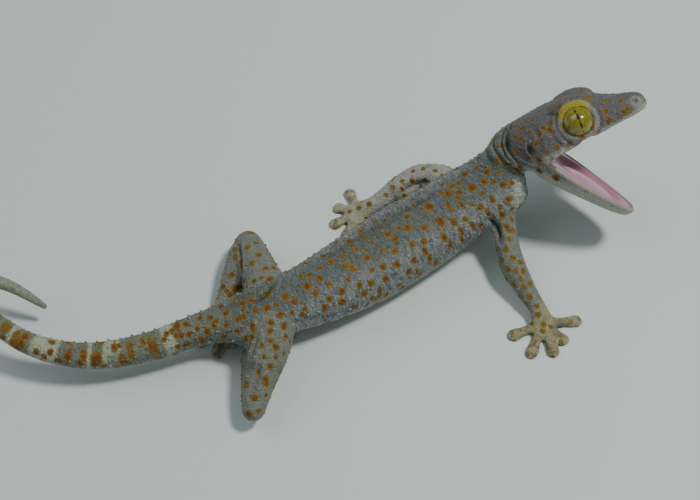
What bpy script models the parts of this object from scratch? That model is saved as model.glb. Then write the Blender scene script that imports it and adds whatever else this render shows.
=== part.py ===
# Tokay gecko, life size, lying on the floor with its head raised and its mouth open.
#
# All sizes below are in millimetres and the solids are written in metres.
# X runs from the tail to the head along the trunk, Y to the animal's left, Z up from the floor.
# The origin ends up at the middle of the whole animal's footprint, on the floor.

import bmesh
import bpy
import numpy as np
from mathutils import Vector
from mathutils.bvhtree import BVHTree

METRES = 0.001          # one millimetre in metres
GAP = 0.3               # space kept between touching parts
BODY_SIDES = 24         # points round the trunk and neck
TAIL_SIDES = 14         # points round the tail
LIMB_SIDES = 12         # points round an arm or leg
TOE_SIDES = 8           # points round a toe
HEAD_SIDES = 26         # points round the head and jaw
SPINE_STEPS = 3         # rings for each given section of the spine

# Head: where its base sits on the neck, and how it is turned, raised and rolled
HEAD_BASE = (55.0, 3.3, 26.2)
HEAD_TURN = -29.0       # to the animal's right
HEAD_RAISE = 22.0
HEAD_ROLL = 42.0        # crown leans to the animal's left
SNOUT_TIP = 41.3        # length from the base of the skull
EYE_PLACE = (20.9, 9.6, 2.4)
EYE_RADIUS = 5.3
EYE_FACING = (0.18, 0.93, 0.32)
LID_RING = 5.45         # radius of the ring of lids round the eye
LID_THICK = 0.85
LID_STAND = 1.6         # how far the lids stand out from the middle of the eye
LID_STEPS = 16          # points round the eye, and then round the lid itself
LID_SIDES = 5
BROW_PLACE = (19.8, 6.6, 6.9)
BROW_SIZE = (6.6, 4.6, 3.0)
EAR_PLACE = (5.6, 13.2, -1.0)
EAR_CUP = (1.4, 2.6, 2.5)
NOSTRIL_PLACE = (38.3, 4.3, 3.0)
NOSTRIL_RADIUS = 0.8
LIP_RADIUS = 0.65
UPPER_LIP_WIDTH = 0.86  # place of the lip as a share of the half width there
LOWER_LIP_WIDTH = 0.94
MOUTH_CORNER = 10.5     # how far the mouth line runs back, from the base of the skull
LIP_LEVEL = -5.8        # height of the upper lip at that corner
LIP_RISE = 10.7         # degrees that the upper lip line climbs towards the snout
PALATE_AT = 26.0        # middle of the hollow in the roof of the mouth
PALATE_SIZE = (14.5, 8.2, 3.2)
JAW_HINGE = (9.0, -6.4)
JAW_DROP = 50.0         # degrees that the lower jaw hangs below the skull's axis
JAW_LENGTH = 31.5
MOUTH_FLOOR_PLACE = (13.5, 1.6)
MOUTH_FLOOR_SIZE = (14.5, 9.6, 4.2)
TONGUE_PLACE = (15.0, -1.4)
TONGUE_SIZE = (10.5, 5.6, 1.9)

# Sections of the head: distance forward, half width, top, level of the greatest width, bottom
HEAD_SECTIONS = (
    (0.0, 9.0, 5.9, -1.0, -8.4),
    (4.0, 11.6, 6.8, -1.7, -9.4),
    (8.0, 13.5, 7.8, -2.4, -8.8),
    (12.0, 14.0, 8.7, -3.2, -5.9),
    (16.0, 13.0, 9.1, -3.0, -4.8),
    (20.4, 11.4, 9.2, -2.4, -4.0),
    (25.0, 9.8, 8.5, -1.7, -3.1),
    (29.5, 8.3, 6.7, -1.0, -2.3),
    (34.0, 6.9, 5.5, -0.2, -1.4),
    (37.6, 5.5, 5.0, 0.4, -0.7),
    (40.0, 3.8, 4.1, 1.0, -0.2),
)

# Sections of the lower jaw: distance from the hinge, half width, rise of the lip, depth below it
JAW_SECTIONS = (
    (-5.0, 11.6, 0.4, 5.6),
    (0.0, 13.0, 0.6, 6.4),
    (6.0, 13.2, 0.5, 6.3),
    (12.0, 12.2, 0.4, 5.7),
    (18.0, 10.2, 0.3, 4.9),
    (24.0, 7.7, 0.3, 4.1),
    (28.0, 5.3, 0.3, 3.3),
    (30.4, 3.1, 0.2, 2.4),
)

# Spine, from neck to tail tip: x, y, z, half width, height above, depth below, lean to the left
NECK_ROWS = (
    (55.2, 1.6, 25.2, 7.9, 5.4, 8.2, 40.0),
    (50.6, -1.0, 21.2, 9.4, 6.4, 8.6, 24.0),
    (45.6, -1.8, 17.8, 10.6, 7.4, 8.8, 8.0),
)
TRUNK_ROWS = (
    (40.8, -1.4, 15.5, 11.1, 8.2, 8.9, 2.0),
    (33.0, -0.9, 13.6, 11.2, 8.6, 9.2, 0.0),
    (22.8, -0.9, 11.8, 11.9, 9.2, 10.6, 0.0),
    (11.0, -1.2, 10.8, 12.3, 9.6, 11.3, 0.0),
    (0.0, -1.9, 10.5, 12.0, 9.6, 11.2, 0.0),
    (-11.0, -2.7, 11.4, 11.0, 9.2, 10.6, 0.0),
    (-21.9, -3.0, 12.5, 9.5, 8.4, 9.4, 0.0),
    (-30.0, -2.2, 13.0, 8.6, 7.6, 8.2, 0.0),
    (-38.0, -0.6, 12.6, 7.9, 6.8, 7.0, 0.0),
)
TAIL_ROWS = (
    (-45.6, 1.8, 11.6, 6.9, 5.9, 5.8, 0.0),
    (-50.6, 3.6, 10.9, 5.5, 4.8, 5.0, 0.0),
    (-55.5, 5.2, 10.2, 4.8, 4.4, 4.5, 0.0),
    (-70.6, 8.3, 9.2, 4.3, 4.1, 4.1, 0.0),
    (-84.3, 13.1, 9.7, 3.9, 3.8, 3.7, 0.0),
    (-93.8, 19.3, 11.0, 3.5, 3.4, 3.4, 0.0),
    (-100.9, 26.7, 13.0, 3.1, 3.0, 3.0, 0.0),
    (-105.2, 34.4, 15.0, 2.8, 2.7, 2.7, 0.0),
    (-108.4, 41.4, 16.4, 2.6, 2.5, 2.5, 0.0),
    (-107.6, 48.6, 16.8, 2.3, 2.2, 2.2, 0.0),
    (-102.4, 50.6, 15.6, 2.0, 1.95, 1.95, 0.0),
    (-97.2, 46.6, 13.0, 1.7, 1.65, 1.65, 0.0),
    (-93.2, 41.6, 9.6, 1.25, 1.2, 1.2, 0.0),
    (-90.6, 38.2, 6.6, 0.6, 0.6, 0.6, 0.0),
)

# Arms and legs: joints as x, y, z, radius; the first point lies inside the body
ARM_RIGHT = ((43.4, -5.8, 14.4, 5.2), (41.4, -12.4, 11.4, 3.9), (38.9, -18.7, 8.6, 3.7))
FOREARM_RIGHT = ((38.9, -18.7, 8.6, 3.6), (36.7, -25.2, 6.8, 3.9), (36.1, -33.6, 4.9, 2.9),
                 (35.9, -39.0, 3.9, 2.5))
ARM_LEFT = ((37.0, 6.0, 12.8, 4.4), (34.2, 12.2, 11.4, 4.9), (30.2, 17.8, 8.9, 4.4))
FOREARM_LEFT = ((30.2, 17.8, 8.9, 4.3), (24.6, 18.6, 7.0, 4.2), (18.4, 18.9, 5.0, 3.4),
                (14.2, 19.2, 3.9, 2.8))
THIGH_RIGHT = ((-36.0, -3.6, 12.4, 7.2), (-41.8, -11.2, 10.2, 6.3), (-49.4, -18.4, 8.0, 4.7),
               (-54.4, -24.2, 6.6, 3.5))
SHIN_RIGHT = ((-54.2, -24.2, 6.2, 3.3), (-51.8, -18.2, 4.8, 3.2), (-48.6, -12.2, 4.0, 3.0),
              (-46.4, -7.2, 3.8, 2.6))
THIGH_LEFT = ((-33.0, 4.0, 12.6, 6.4), (-31.4, 12.0, 10.6, 5.9), (-29.6, 19.6, 8.4, 5.2),
              (-27.9, 26.0, 6.8, 4.3))
SHIN_LEFT = ((-27.9, 26.0, 6.6, 4.2), (-32.0, 22.4, 6.4, 4.8), (-37.6, 16.8, 5.8, 4.4),
             (-44.0, 12.8, 4.2, 2.7))

# Hands and feet: wrist, middle of the palm, then the five toe tips on the floor
HAND_RIGHT = ((35.9, -39.0, 3.9), (35.0, -43.6, 1.9),
              ((46.2, -48.4), (37.6, -52.4), (31.6, -54.2), (24.8, -50.4), (23.6, -41.2)))
HAND_LEFT = ((14.2, 19.2, 3.9), (9.6, 20.6, 1.9),
             ((11.8, 31.2), (4.2, 27.6), (-0.8, 21.8), (0.6, 15.2), (7.0, 12.2)))
FOOT_RIGHT = ((-46.4, -7.2, 3.8), (-41.2, -5.6, 1.9),
              ((-35.4, -8.2), (-30.0, -5.6), (-27.6, -0.8), (-29.8, 4.0), (-35.8, 4.0)))
FOOT_LEFT = ((-44.0, 12.8, 4.2), (-47.2, 8.6, 1.9),
             ((-41.8, 2.4), (-48.2, -0.7), (-54.4, -1.0), (-57.8, 6.4), (-55.0, 12.4)))
PALM_FRONT = 2.6        # from the middle of the palm to its front
PALM_WIDTHS = (1.12, 1.5, 1.2)  # half widths in wrist radii: halfway to the middle, there and at the front
PALM_TOP = 1.7          # height above the middle, there and at the front, and depth below it
PALM_FRONT_TOP = 1.1
PALM_DEPTH = 2.2
TOE_LIFT = 0.25         # slack of the toe roots above the floor
TOE_PAD = 2.0           # half width of a toe's pad
TOE_ROOT = 2.0          # distance of a toe's root from the middle of the palm

# Sections of a toe: share of its length, half width in millimetres or in pads, top and bottom
TOE_STEM = ((0.0, 1.6, 3.0, 0.3), (0.3, 1.35, 2.5, 0.3), (0.48, 1.35, 2.1, TOE_LIFT))
TOE_PAD_STEPS = ((0.66, 0.92, 1.8, -0.3), (0.86, 1.0, 1.55, -0.3), (0.96, 0.66, 1.2, -0.2))

# Pointed tubercles in rings on the tail
TUBERCLE_NODES = ("tail_base", "tail_middle", "tail_curl")
TUBERCLE_EVERY = 3.85   # from one ring to the next
TUBERCLE_ANGLES = (-86.0, -52.0, -18.0, 18.0, 52.0, 86.0)   # degrees round the tail from its ridge
TUBERCLE_SIDES = 4
TUBERCLE_RADIUS = 0.75
TUBERCLE_HEIGHT = 0.75
TUBERCLE_SUNK = 0.5
TUBERCLE_LEAN = 0.3     # how far the point leans towards the tip of the tail
TUBERCLE_CLEAR = 1.7    # kept free at both ends of each length of tail
TAIL_FULL = 5.0         # half width of the tail at which they have full size
SEED = 4

# Colours
SKIN_BACK = (0.17, 0.22, 0.30)
SKIN_HEAD = (0.16, 0.20, 0.29)
SKIN_LIMB = (0.27, 0.29, 0.26)
SKIN_FOOT = (0.48, 0.44, 0.25)
SKIN_TAIL = (0.26, 0.25, 0.22)
EYE_COLOUR = (0.30, 0.28, 0.02)
MOUTH_COLOUR = (0.52, 0.27, 0.37)

# Nodes of the spine: name, where each starts, points round it and colour
SPINE_NODES = (
    ("neck", NECK_ROWS[0][:2], BODY_SIDES, SKIN_BACK),
    ("torso", (45.4, -1.2), BODY_SIDES, SKIN_BACK),
    ("tail_base", (-45.6, 1.8), TAIL_SIDES, SKIN_TAIL),
    ("tail_middle", (-70.6, 8.4), TAIL_SIDES, SKIN_TAIL),
    ("tail_curl", (-93.8, 19.3), TAIL_SIDES, SKIN_TAIL),
    ("tail_tip", (-107.6, 48.6), TAIL_SIDES, SKIN_TAIL),
)


# Small helpers for directions and smooth curves

def unit(vector):
    vector = np.asarray(vector, dtype=float)
    return vector / np.linalg.norm(vector)


def smooth_rows(rows, steps):
    """Rows read along a smooth curve that passes through every one of them."""
    rows = np.asarray(rows, dtype=float)
    before = 2 * rows[0] - rows[1]
    after = 2 * rows[-1] - rows[-2]
    padded = np.vstack([before, rows, after])
    dense = []
    for i in range(1, len(padded) - 2):
        a, b, c, d = padded[i - 1:i + 3]
        for t in np.arange(steps) / steps:
            dense.append(0.5 * (2 * b + (c - a) * t + (2 * a - 5 * b + 4 * c - d) * t ** 2
                                + (3 * b - a - 3 * c + d) * t ** 3))
    dense.append(rows[-1])
    return np.array(dense)


def head_axes():
    """The head's forward, left and up directions."""
    turn, lift, roll = np.radians((HEAD_TURN, HEAD_RAISE, HEAD_ROLL))
    forward = np.array((np.cos(turn) * np.cos(lift), np.sin(turn) * np.cos(lift), np.sin(lift)))
    level_left = unit(np.cross((0, 0, 1), forward))
    level_up = np.cross(forward, level_left)
    up = level_up * np.cos(roll) + level_left * np.sin(roll)
    return forward, np.cross(up, forward), up


def head_point(forward, left, up):
    """A place given in the head's own directions, from the base of the skull."""
    along, side, top = head_axes()
    return np.asarray(HEAD_BASE) + forward * along + left * side + up * top


def jaw_axes():
    """The lower jaw's forward, left and up directions."""
    forward, left, up = head_axes()
    drop = np.radians(JAW_DROP)
    return (np.cos(drop) * forward - np.sin(drop) * up, left,
            np.sin(drop) * forward + np.cos(drop) * up)


def jaw_point(forward, left, up):
    """A place given in the lower jaw's own directions, from its hinge."""
    along, side, top = jaw_axes()
    hinge = head_point(JAW_HINGE[0], 0.0, JAW_HINGE[1])
    return hinge + forward * along + left * side + up * top


# Making and joining solids

def new_object(name, mesh):
    obj = bpy.data.objects.new(name, mesh)
    bpy.context.scene.collection.objects.link(obj)
    return obj


def finish_mesh(name, work):
    """Turns the working mesh into an object, with triangles that face outwards."""
    bmesh.ops.triangulate(work, faces=list(work.faces))
    bmesh.ops.recalc_face_normals(work, faces=list(work.faces))
    mesh = bpy.data.meshes.new(name)
    work.to_mesh(mesh)
    work.free()
    return new_object(name, mesh)


def skin_rings(name, rings, start_pole=None, end_pole=None):
    """A closed solid through rings of points, with flat ends or with a pole at an end."""
    work = bmesh.new()
    rows = [[work.verts.new(np.asarray(p) * METRES) for p in ring] for ring in rings]
    count = len(rows[0])
    for lower, upper in zip(rows, rows[1:]):
        for i in range(count):
            j = (i + 1) % count
            work.faces.new((lower[i], lower[j], upper[j], upper[i]))
    for row, pole in ((rows[0], start_pole), (rows[-1], end_pole)):
        middle = np.mean([np.array(v.co) for v in row], axis=0)
        tip = work.verts.new(middle if pole is None else np.asarray(pole) * METRES)
        for i in range(count):
            work.faces.new((row[i], row[(i + 1) % count], tip))
    return finish_mesh(name, work)


def squarish(angle, power):
    """Cosine and sine of an oval that is squarer than an ellipse when power is over 2."""
    c, s = np.cos(angle), np.sin(angle)
    return (np.sign(c) * abs(c) ** (2 / power), np.sign(s) * abs(s) ** (2 / power))


def oval_ring(centre, side, up, half_width, above, below, count, power=2.2, power_below=None):
    ring = []
    for k in range(count):
        angle = 2 * np.pi * (k + 0.5) / count
        lower = np.sin(angle) < 0
        c, s = squarish(angle, power_below if lower and power_below else power)
        ring.append(centre + side * half_width * c + up * (below if lower else above) * s)
    return ring


def tube(name, rows, count, round_start=False, round_end=False, floor=True, tangents=None):
    """A solid along rows of x, y, z, half width, height above, depth below and lean."""
    rows = np.asarray(rows, dtype=float)
    if tangents is None:
        tangents = np.gradient(rows[:, :3], axis=0)
    rings = []
    for row, tangent in zip(rows, tangents):
        tangent = unit(tangent)
        level_up = unit(np.array((0, 0, 1)) - tangent[2] * tangent)
        level_left = np.cross(level_up, tangent)
        lean = np.radians(row[6])
        up = level_up * np.cos(lean) + level_left * np.sin(lean)
        side = np.cross(up, tangent)
        rings.append((row[:3], side, up, row[3], row[4], row[5], tangent))
    ends = {}
    shaped = []
    for order, is_round, sign in ((0, round_start, -1), (-1, round_end, 1)):
        if is_round:
            centre, side, up, width, above, below, tangent = rings[order]
            radius = (width + above + below) / 3
            dome = []
            for turn in np.radians((35, 65)):
                dome.append((centre + sign * tangent * radius * np.sin(turn), side, up,
                             width * np.cos(turn), above * np.cos(turn), below * np.cos(turn), tangent))
            ends[order] = (dome, centre + sign * tangent * radius)
    if 0 in ends:
        shaped += ends[0][0][::-1]
    shaped += rings
    if -1 in ends:
        shaped += ends[-1][0]
    points = [oval_ring(*ring[:6], count) for ring in shaped]
    if floor:
        points = [[np.array((p[0], p[1], max(p[2], 0.0))) for p in ring] for ring in points]
    return skin_rings(name, points, ends[0][1] if 0 in ends else None, ends[-1][1] if -1 in ends else None)


def ellipsoid(name, centre, axes, sizes, across=14, along=9):
    """A closed egg shape with its own three directions and half sizes."""
    forward, left, up = (unit(a) for a in axes)
    rings = []
    for i in range(1, along):
        turn = np.pi * i / along
        middle = np.asarray(centre) - forward * sizes[0] * np.cos(turn)
        rings.append([middle + np.sin(turn) * (left * sizes[1] * np.cos(a) + up * sizes[2] * np.sin(a))
                      for a in 2 * np.pi * np.arange(across) / across])
    start = np.asarray(centre) - forward * sizes[0]
    end = np.asarray(centre) + forward * sizes[0]
    return skin_rings(name, rings, start, end)


def swept(name, path, radius, count=5):
    """A round cord-like ridge of one radius along a path."""
    rows = [(*p, radius, radius, radius, 0.0) for p in path]
    return tube(name, rows, count, round_start=True, round_end=True, floor=False)


def grown_copy(obj, amount=GAP):
    """A copy of a solid that is larger all round, to cut a neighbour clear of it."""
    work = bmesh.new()
    work.from_mesh(obj.data)
    bmesh.ops.remove_doubles(work, verts=work.verts, dist=1e-6)
    work.normal_update()
    moves = [v.normal * amount * METRES for v in work.verts]
    for vert, move in zip(work.verts, moves):
        vert.co += move
    mesh = bpy.data.meshes.new(obj.name + "_cutter")
    work.to_mesh(mesh)
    work.free()
    return new_object(obj.name + "_cutter", mesh)


def keep_largest(obj):
    """Keeps the largest closed surface of the mesh and drops the loose scraps."""
    work = bmesh.new()
    work.from_mesh(obj.data)
    bmesh.ops.remove_doubles(work, verts=work.verts, dist=2e-6)
    bmesh.ops.triangulate(work, faces=list(work.faces))
    left = set(work.faces)
    shells = []
    while left:
        seed = left.pop()
        shell, edge = {seed}, [seed]
        while edge:
            for near in {f for e in edge.pop().edges for f in e.link_faces} & left:
                left.discard(near)
                shell.add(near)
                edge.append(near)
        shells.append(shell)
    shells.sort(key=lambda shell: sum(f.calc_area() for f in shell))
    scraps = [f for shell in shells[:-1] for f in shell]
    bmesh.ops.delete(work, geom=scraps, context="FACES")
    work.to_mesh(obj.data)
    work.free()


def apply_modifiers(obj):
    graph = bpy.context.evaluated_depsgraph_get()
    mesh = bpy.data.meshes.new_from_object(obj.evaluated_get(graph))
    obj.modifiers.clear()
    obj.data = mesh


def combine(obj, others, operation):
    """Joins solids to an object, or cuts them from it, and removes them."""
    group = bpy.data.collections.new(obj.name + "_pieces")
    for other in others:
        group.objects.link(other)
        bpy.context.scene.collection.objects.unlink(other)
    bpy.context.scene.collection.children.link(group)
    change = obj.modifiers.new(operation.title(), "BOOLEAN")
    change.operation = operation
    change.operand_type = "COLLECTION"
    change.collection = group
    change.solver = "EXACT"
    apply_modifiers(obj)
    for other in others:
        bpy.data.objects.remove(other)
    bpy.data.collections.remove(group)
    keep_largest(obj)
    return obj


def join(obj, others):
    return combine(obj, others, "UNION")


def cut(obj, others):
    return combine(obj, others, "DIFFERENCE")


def clear_of(obj, neighbours):
    """Cuts a solid back so that it meets its neighbours face to face across the gap."""
    return cut(obj, [grown_copy(n) for n in neighbours])


def paint(obj, colour, roughness=0.6):
    material = bpy.data.materials.new(obj.name)
    material.use_nodes = True
    shader = material.node_tree.nodes["Principled BSDF"]
    shader.inputs["Base Color"].default_value = (*colour, 1.0)
    shader.inputs["Roughness"].default_value = roughness
    shader.inputs["Metallic"].default_value = 0.0
    obj.data.materials.clear()
    obj.data.materials.append(material)
    return obj


# Neck, trunk and tail: one smooth run of rows, parted with thin cuts

def spine_rows():
    """Rows of the whole spine, close together, followed by their length from the head and their direction."""
    lead = (*head_point(5.0, -1.0, -1.0), 8.0, 6.0, 8.2, HEAD_ROLL)
    rows = smooth_rows((lead, *NECK_ROWS, *TRUNK_ROWS, *TAIL_ROWS), SPINE_STEPS)
    steps = np.linalg.norm(np.diff(rows[:, :3], axis=0), axis=1)
    length = np.concatenate([[0], np.cumsum(steps)])
    tangents = np.gradient(rows[:, :3], axis=0)
    return np.hstack([rows, length[:, None], tangents])


def spine_between(rows, start, end):
    """The rows between two lengths, with new ones exactly at both."""
    length = rows[:, 7]
    inside = rows[(length > start + 0.4) & (length < end - 0.4)]
    first = [np.interp(start, length, column) for column in rows.T]
    last = [np.interp(end, length, column) for column in rows.T]
    return np.vstack([first, inside, last])


def length_at(rows, x, y):
    return rows[np.argmin((rows[:, 0] - x) ** 2 + (rows[:, 1] - y) ** 2), 7]


def node_lengths(rows, name):
    """Where a node of the spine starts and stops, as lengths from the head."""
    order = [spine_node[0] for spine_node in SPINE_NODES].index(name)
    starts = [rows[0, 7]] + [length_at(rows, x, y) for _, (x, y), _, _ in SPINE_NODES[1:]]
    stops = starts[1:] + [rows[-1, 7]]
    first, last = order == 0, order == len(SPINE_NODES) - 1
    return starts[order] + (0 if first else GAP / 2), stops[order] - (0 if last else GAP / 2)


def make_spine():
    rows = spine_rows()
    parts = {}
    for name, _, sides, colour in SPINE_NODES:
        piece = spine_between(rows, *node_lengths(rows, name))
        solid = tube(name, piece[:, :7], sides, round_end=name == "tail_tip", tangents=piece[:, 8:])
        parts[name] = paint(solid, colour)
    trim_neck(parts["neck"])
    return parts


def tubercle(place, out, backward, size):
    """A pointed cone with its root sunk in the skin."""
    side = np.cross(out, backward)
    root = place - out * TUBERCLE_SUNK
    turns = 2 * np.pi * np.arange(TUBERCLE_SIDES) / TUBERCLE_SIDES
    ring = [root + TUBERCLE_RADIUS * size * (backward * np.cos(a) + side * np.sin(a)) for a in turns]
    tip = place + out * TUBERCLE_HEIGHT * size + backward * TUBERCLE_LEAN * size
    return skin_rings("tubercle", [ring], root, tip)


def add_tubercles(parts):
    """Rings of pointed tubercles over the top and sides of the tail."""
    rows = spine_rows()
    draw = np.random.default_rng(SEED)
    for name in TUBERCLE_NODES:
        tree = BVHTree.FromPolygons([v.co / METRES for v in parts[name].data.vertices],
                                    [p.vertices for p in parts[name].data.polygons])
        start, stop = node_lengths(rows, name)
        count = int((stop - start - 2 * TUBERCLE_CLEAR) // TUBERCLE_EVERY) + 1
        cones = []
        for length in np.linspace(start + TUBERCLE_CLEAR, stop - TUBERCLE_CLEAR, count):
            row = spine_between(rows, length, length)[0]
            backward = unit(row[8:])
            top = unit(np.array((0, 0, 1)) - backward[2] * backward)
            left = np.cross(top, backward)
            for angle in np.radians(TUBERCLE_ANGLES) + draw.uniform(-0.1, 0.1, len(TUBERCLE_ANGLES)):
                out = top * np.cos(angle) + left * np.sin(angle)
                place = np.array(tree.ray_cast(Vector(row[:3]), Vector(out))[0])
                size = np.clip(row[3] / TAIL_FULL, 0.6, 1.0) * draw.uniform(0.85, 1.1)
                cones.append(tubercle(place, out, backward, size))
        join(parts[name], cones)


def trim_neck(neck):
    """Cuts the neck off flat at the base of the skull."""
    forward = head_axes()[0]
    work = bmesh.new()
    work.from_mesh(neck.data)
    cut_at = head_point(-GAP, 0.0, 0.0) * METRES
    found = bmesh.ops.bisect_plane(work, geom=work.verts[:] + work.edges[:] + work.faces[:],
                                   plane_co=cut_at, plane_no=forward, clear_outer=True)
    rim = [e for e in found["geom_cut"] if isinstance(e, bmesh.types.BMEdge)]
    if rim:
        bmesh.ops.contextual_create(work, geom=rim)
    bmesh.ops.triangulate(work, faces=list(work.faces))
    work.to_mesh(neck.data)
    work.free()


# Head

def lip_height(forward):
    return LIP_LEVEL + np.tan(np.radians(LIP_RISE)) * (forward - MOUTH_CORNER)


def make_skull():
    forward, left, up = head_axes()
    rings = []
    for place, width, top, level, bottom in smooth_rows(HEAD_SECTIONS, 2):
        rings.append(oval_ring(head_point(place, 0.0, level), left, up, width, top - level,
                               level - bottom, HEAD_SIDES, power=2.1, power_below=2.8))
    return skin_rings("head", rings, None, head_point(SNOUT_TIP, 0.0, 1.6))


def eye_facing(side):
    forward, left, up = head_axes()
    return unit(EYE_FACING[0] * forward + side * EYE_FACING[1] * left + EYE_FACING[2] * up)


def eye_centre(side):
    return head_point(EYE_PLACE[0], side * EYE_PLACE[1], EYE_PLACE[2])


def eyeball(name, side, radius):
    facing = eye_facing(side)
    across = unit(np.cross(head_axes()[2], facing))
    return ellipsoid(name, eye_centre(side), (facing, across, np.cross(facing, across)), [radius] * 3, 16, 9)


def brow(side):
    forward, left, up = BROW_PLACE
    return ellipsoid("brow", head_point(forward, side * left, up), head_axes(), BROW_SIZE, 12, 8)


def lids(side):
    """The ring of lids that holds the eye."""
    facing = eye_facing(side)
    across = unit(np.cross(head_axes()[2], facing))
    above = np.cross(facing, across)
    middle = eye_centre(side) + facing * LID_STAND
    work = bmesh.new()
    rows = []
    for turn in 2 * np.pi * np.arange(LID_STEPS) / LID_STEPS:
        out = across * np.cos(turn) + above * np.sin(turn)
        ring = []
        for roll in 2 * np.pi * np.arange(LID_SIDES) / LID_SIDES:
            reach = LID_RING + LID_THICK * np.cos(roll)
            ring.append(work.verts.new((middle + out * reach + facing * LID_THICK * np.sin(roll)) * METRES))
        rows.append(ring)
    for i, row in enumerate(rows):
        following = rows[(i + 1) % len(rows)]
        for j in range(LID_SIDES):
            k = (j + 1) % LID_SIDES
            work.faces.new((row[j], row[k], following[k], following[j]))
    return finish_mesh("lids", work)


def upper_lip():
    """A ridge along the edge of the upper jaw, from one corner of the mouth to the other."""
    sections = [s for s in smooth_rows(HEAD_SECTIONS, 2) if s[0] > MOUTH_CORNER + 1]
    edge = [(s[0], UPPER_LIP_WIDTH * s[1], s[4] + 0.9 * LIP_RADIUS) for s in sections]
    points = [head_point(f, w, h) for f, w, h in edge]
    points += [head_point(SNOUT_TIP - 1.6 * LIP_RADIUS, 0.0, edge[-1][2] + 0.3)]
    points += [head_point(f, -w, h) for f, w, h in edge[::-1]]
    return swept("upper_lip", points, LIP_RADIUS)


def lower_lip():
    """The same ridge along the lower jaw."""
    sections = [s for s in smooth_rows(JAW_SECTIONS, 2) if s[0] > 3.0]
    edge = [(s[0], LOWER_LIP_WIDTH * s[1], 0.0) for s in sections]
    points = [jaw_point(f, w, h) for f, w, h in edge]
    points += [jaw_point(JAW_LENGTH - 1.6 * LIP_RADIUS, 0.0, 0.0)]
    points += [jaw_point(f, -w, h) for f, w, h in edge[::-1]]
    return swept("lower_lip", points, LIP_RADIUS)


def make_head():
    axes = head_axes()
    head = make_skull()
    join(head, [brow(1), brow(-1), lids(1), lids(-1), upper_lip()])
    slope = np.radians(LIP_RISE)
    along = axes[0] * np.cos(slope) + axes[2] * np.sin(slope)
    above = axes[2] * np.cos(slope) - axes[0] * np.sin(slope)
    palate = ellipsoid("palate", head_point(PALATE_AT, 0.0, lip_height(PALATE_AT) - 1.0),
                       (along, axes[1], above), PALATE_SIZE, 18, 10)
    hollows = [palate]
    for side in (1, -1):
        hollows.append(eyeball("socket", side, EYE_RADIUS + GAP))
        ear = head_point(EAR_PLACE[0], side * EAR_PLACE[1], EAR_PLACE[2])
        hollows.append(ellipsoid("ear", ear, axes, EAR_CUP, 10, 7))
        nostril = head_point(NOSTRIL_PLACE[0], side * NOSTRIL_PLACE[1], NOSTRIL_PLACE[2])
        hollows.append(ellipsoid("nostril", nostril, axes, [NOSTRIL_RADIUS] * 3, 8, 6))
    cut(head, hollows)
    return paint(head, SKIN_HEAD)


def make_eye(name, side):
    return paint(eyeball(name, side, EYE_RADIUS), EYE_COLOUR, 0.15)


def make_jaw(head, neck):
    left, up = jaw_axes()[1:]
    rings = []
    for place, width, rise, depth in smooth_rows(JAW_SECTIONS, 2):
        rings.append(oval_ring(jaw_point(place, 0.0, 0.0), left, up, width, rise, depth, HEAD_SIDES,
                               power=2.6, power_below=2.0))
    jaw = skin_rings("lower_jaw", rings, None, jaw_point(JAW_LENGTH, 0.0, -0.5))
    join(jaw, [lower_lip()])
    floor_place = jaw_point(MOUTH_FLOOR_PLACE[0], 0.0, MOUTH_FLOOR_PLACE[1])
    cut(jaw, [ellipsoid("floor_of_mouth", floor_place, jaw_axes(), MOUTH_FLOOR_SIZE, 18, 10)])
    clear_of(jaw, [head, neck])
    return paint(jaw, SKIN_HEAD)


def make_tongue(jaw, head):
    middle = jaw_point(TONGUE_PLACE[0], 0.0, TONGUE_PLACE[1])
    tongue = ellipsoid("tongue", middle, jaw_axes(), TONGUE_SIZE, 14, 8)
    clear_of(tongue, [jaw, head])
    return paint(tongue, MOUTH_COLOUR, 0.3)


# Arms and legs

def limb(name, joints, steps=3, **ends):
    rows = [(x, y, z, r, r, r, 0.0) for x, y, z, r in joints]
    return tube(name, smooth_rows(rows, steps), LIMB_SIDES, **ends)


def toe(root, tip):
    """One toe: a thin root that widens into a flat pad, with its sole on the floor."""
    root, tip = np.asarray(root, dtype=float), np.asarray((*tip, 0.0))
    along = tip - (root[0], root[1], 0.0)
    length = np.linalg.norm(along)
    along = along / length
    side = np.cross((0, 0, 1), along)
    widened = [(share, half * TOE_PAD, top, bottom) for share, half, top, bottom in TOE_PAD_STEPS]
    rings = []
    for share, half, top, bottom in (*TOE_STEM, *widened):
        middle = np.array((root[0], root[1], (top + bottom) / 2)) + along * share * length
        ring = oval_ring(middle, side, np.array((0, 0, 1.0)), half, (top - bottom) / 2,
                         (top - bottom) / 2, TOE_SIDES, power=2.4)
        rings.append([np.array((p[0], p[1], max(p[2], 0.0))) for p in ring])
    end = np.array((root[0], root[1], 0.45)) + along * length
    start = np.array((root[0], root[1], 1.5)) - along * 0.6
    return skin_rings("toe", rings, start, end)


def hand(name, wrist, palm, tips, radius):
    """A palm with five spread toes."""
    wrist, palm = np.asarray(wrist), np.asarray(palm)
    along = unit((palm - wrist) * (1, 1, 0))
    front = palm + along * PALM_FRONT
    wide, wider, narrower = radius * np.array(PALM_WIDTHS)
    rows = ((*wrist, radius, radius, radius, 0.0),
            (*(0.5 * wrist + 0.5 * palm), wide, radius * 0.86, radius, 0.0),
            (*palm, wider, PALM_TOP, PALM_DEPTH, 0.0),
            (*front, narrower, PALM_FRONT_TOP, PALM_DEPTH, 0.0))
    pad = tube(name, smooth_rows(rows, 2), LIMB_SIDES, round_start=True, round_end=True)
    toes = []
    for tip in tips:
        out = unit(np.array((*tip, 0.0)) - (palm[0], palm[1], 0.0))
        toes.append(toe(palm + out * TOE_ROOT, tip))
    return join(pad, toes)


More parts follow.
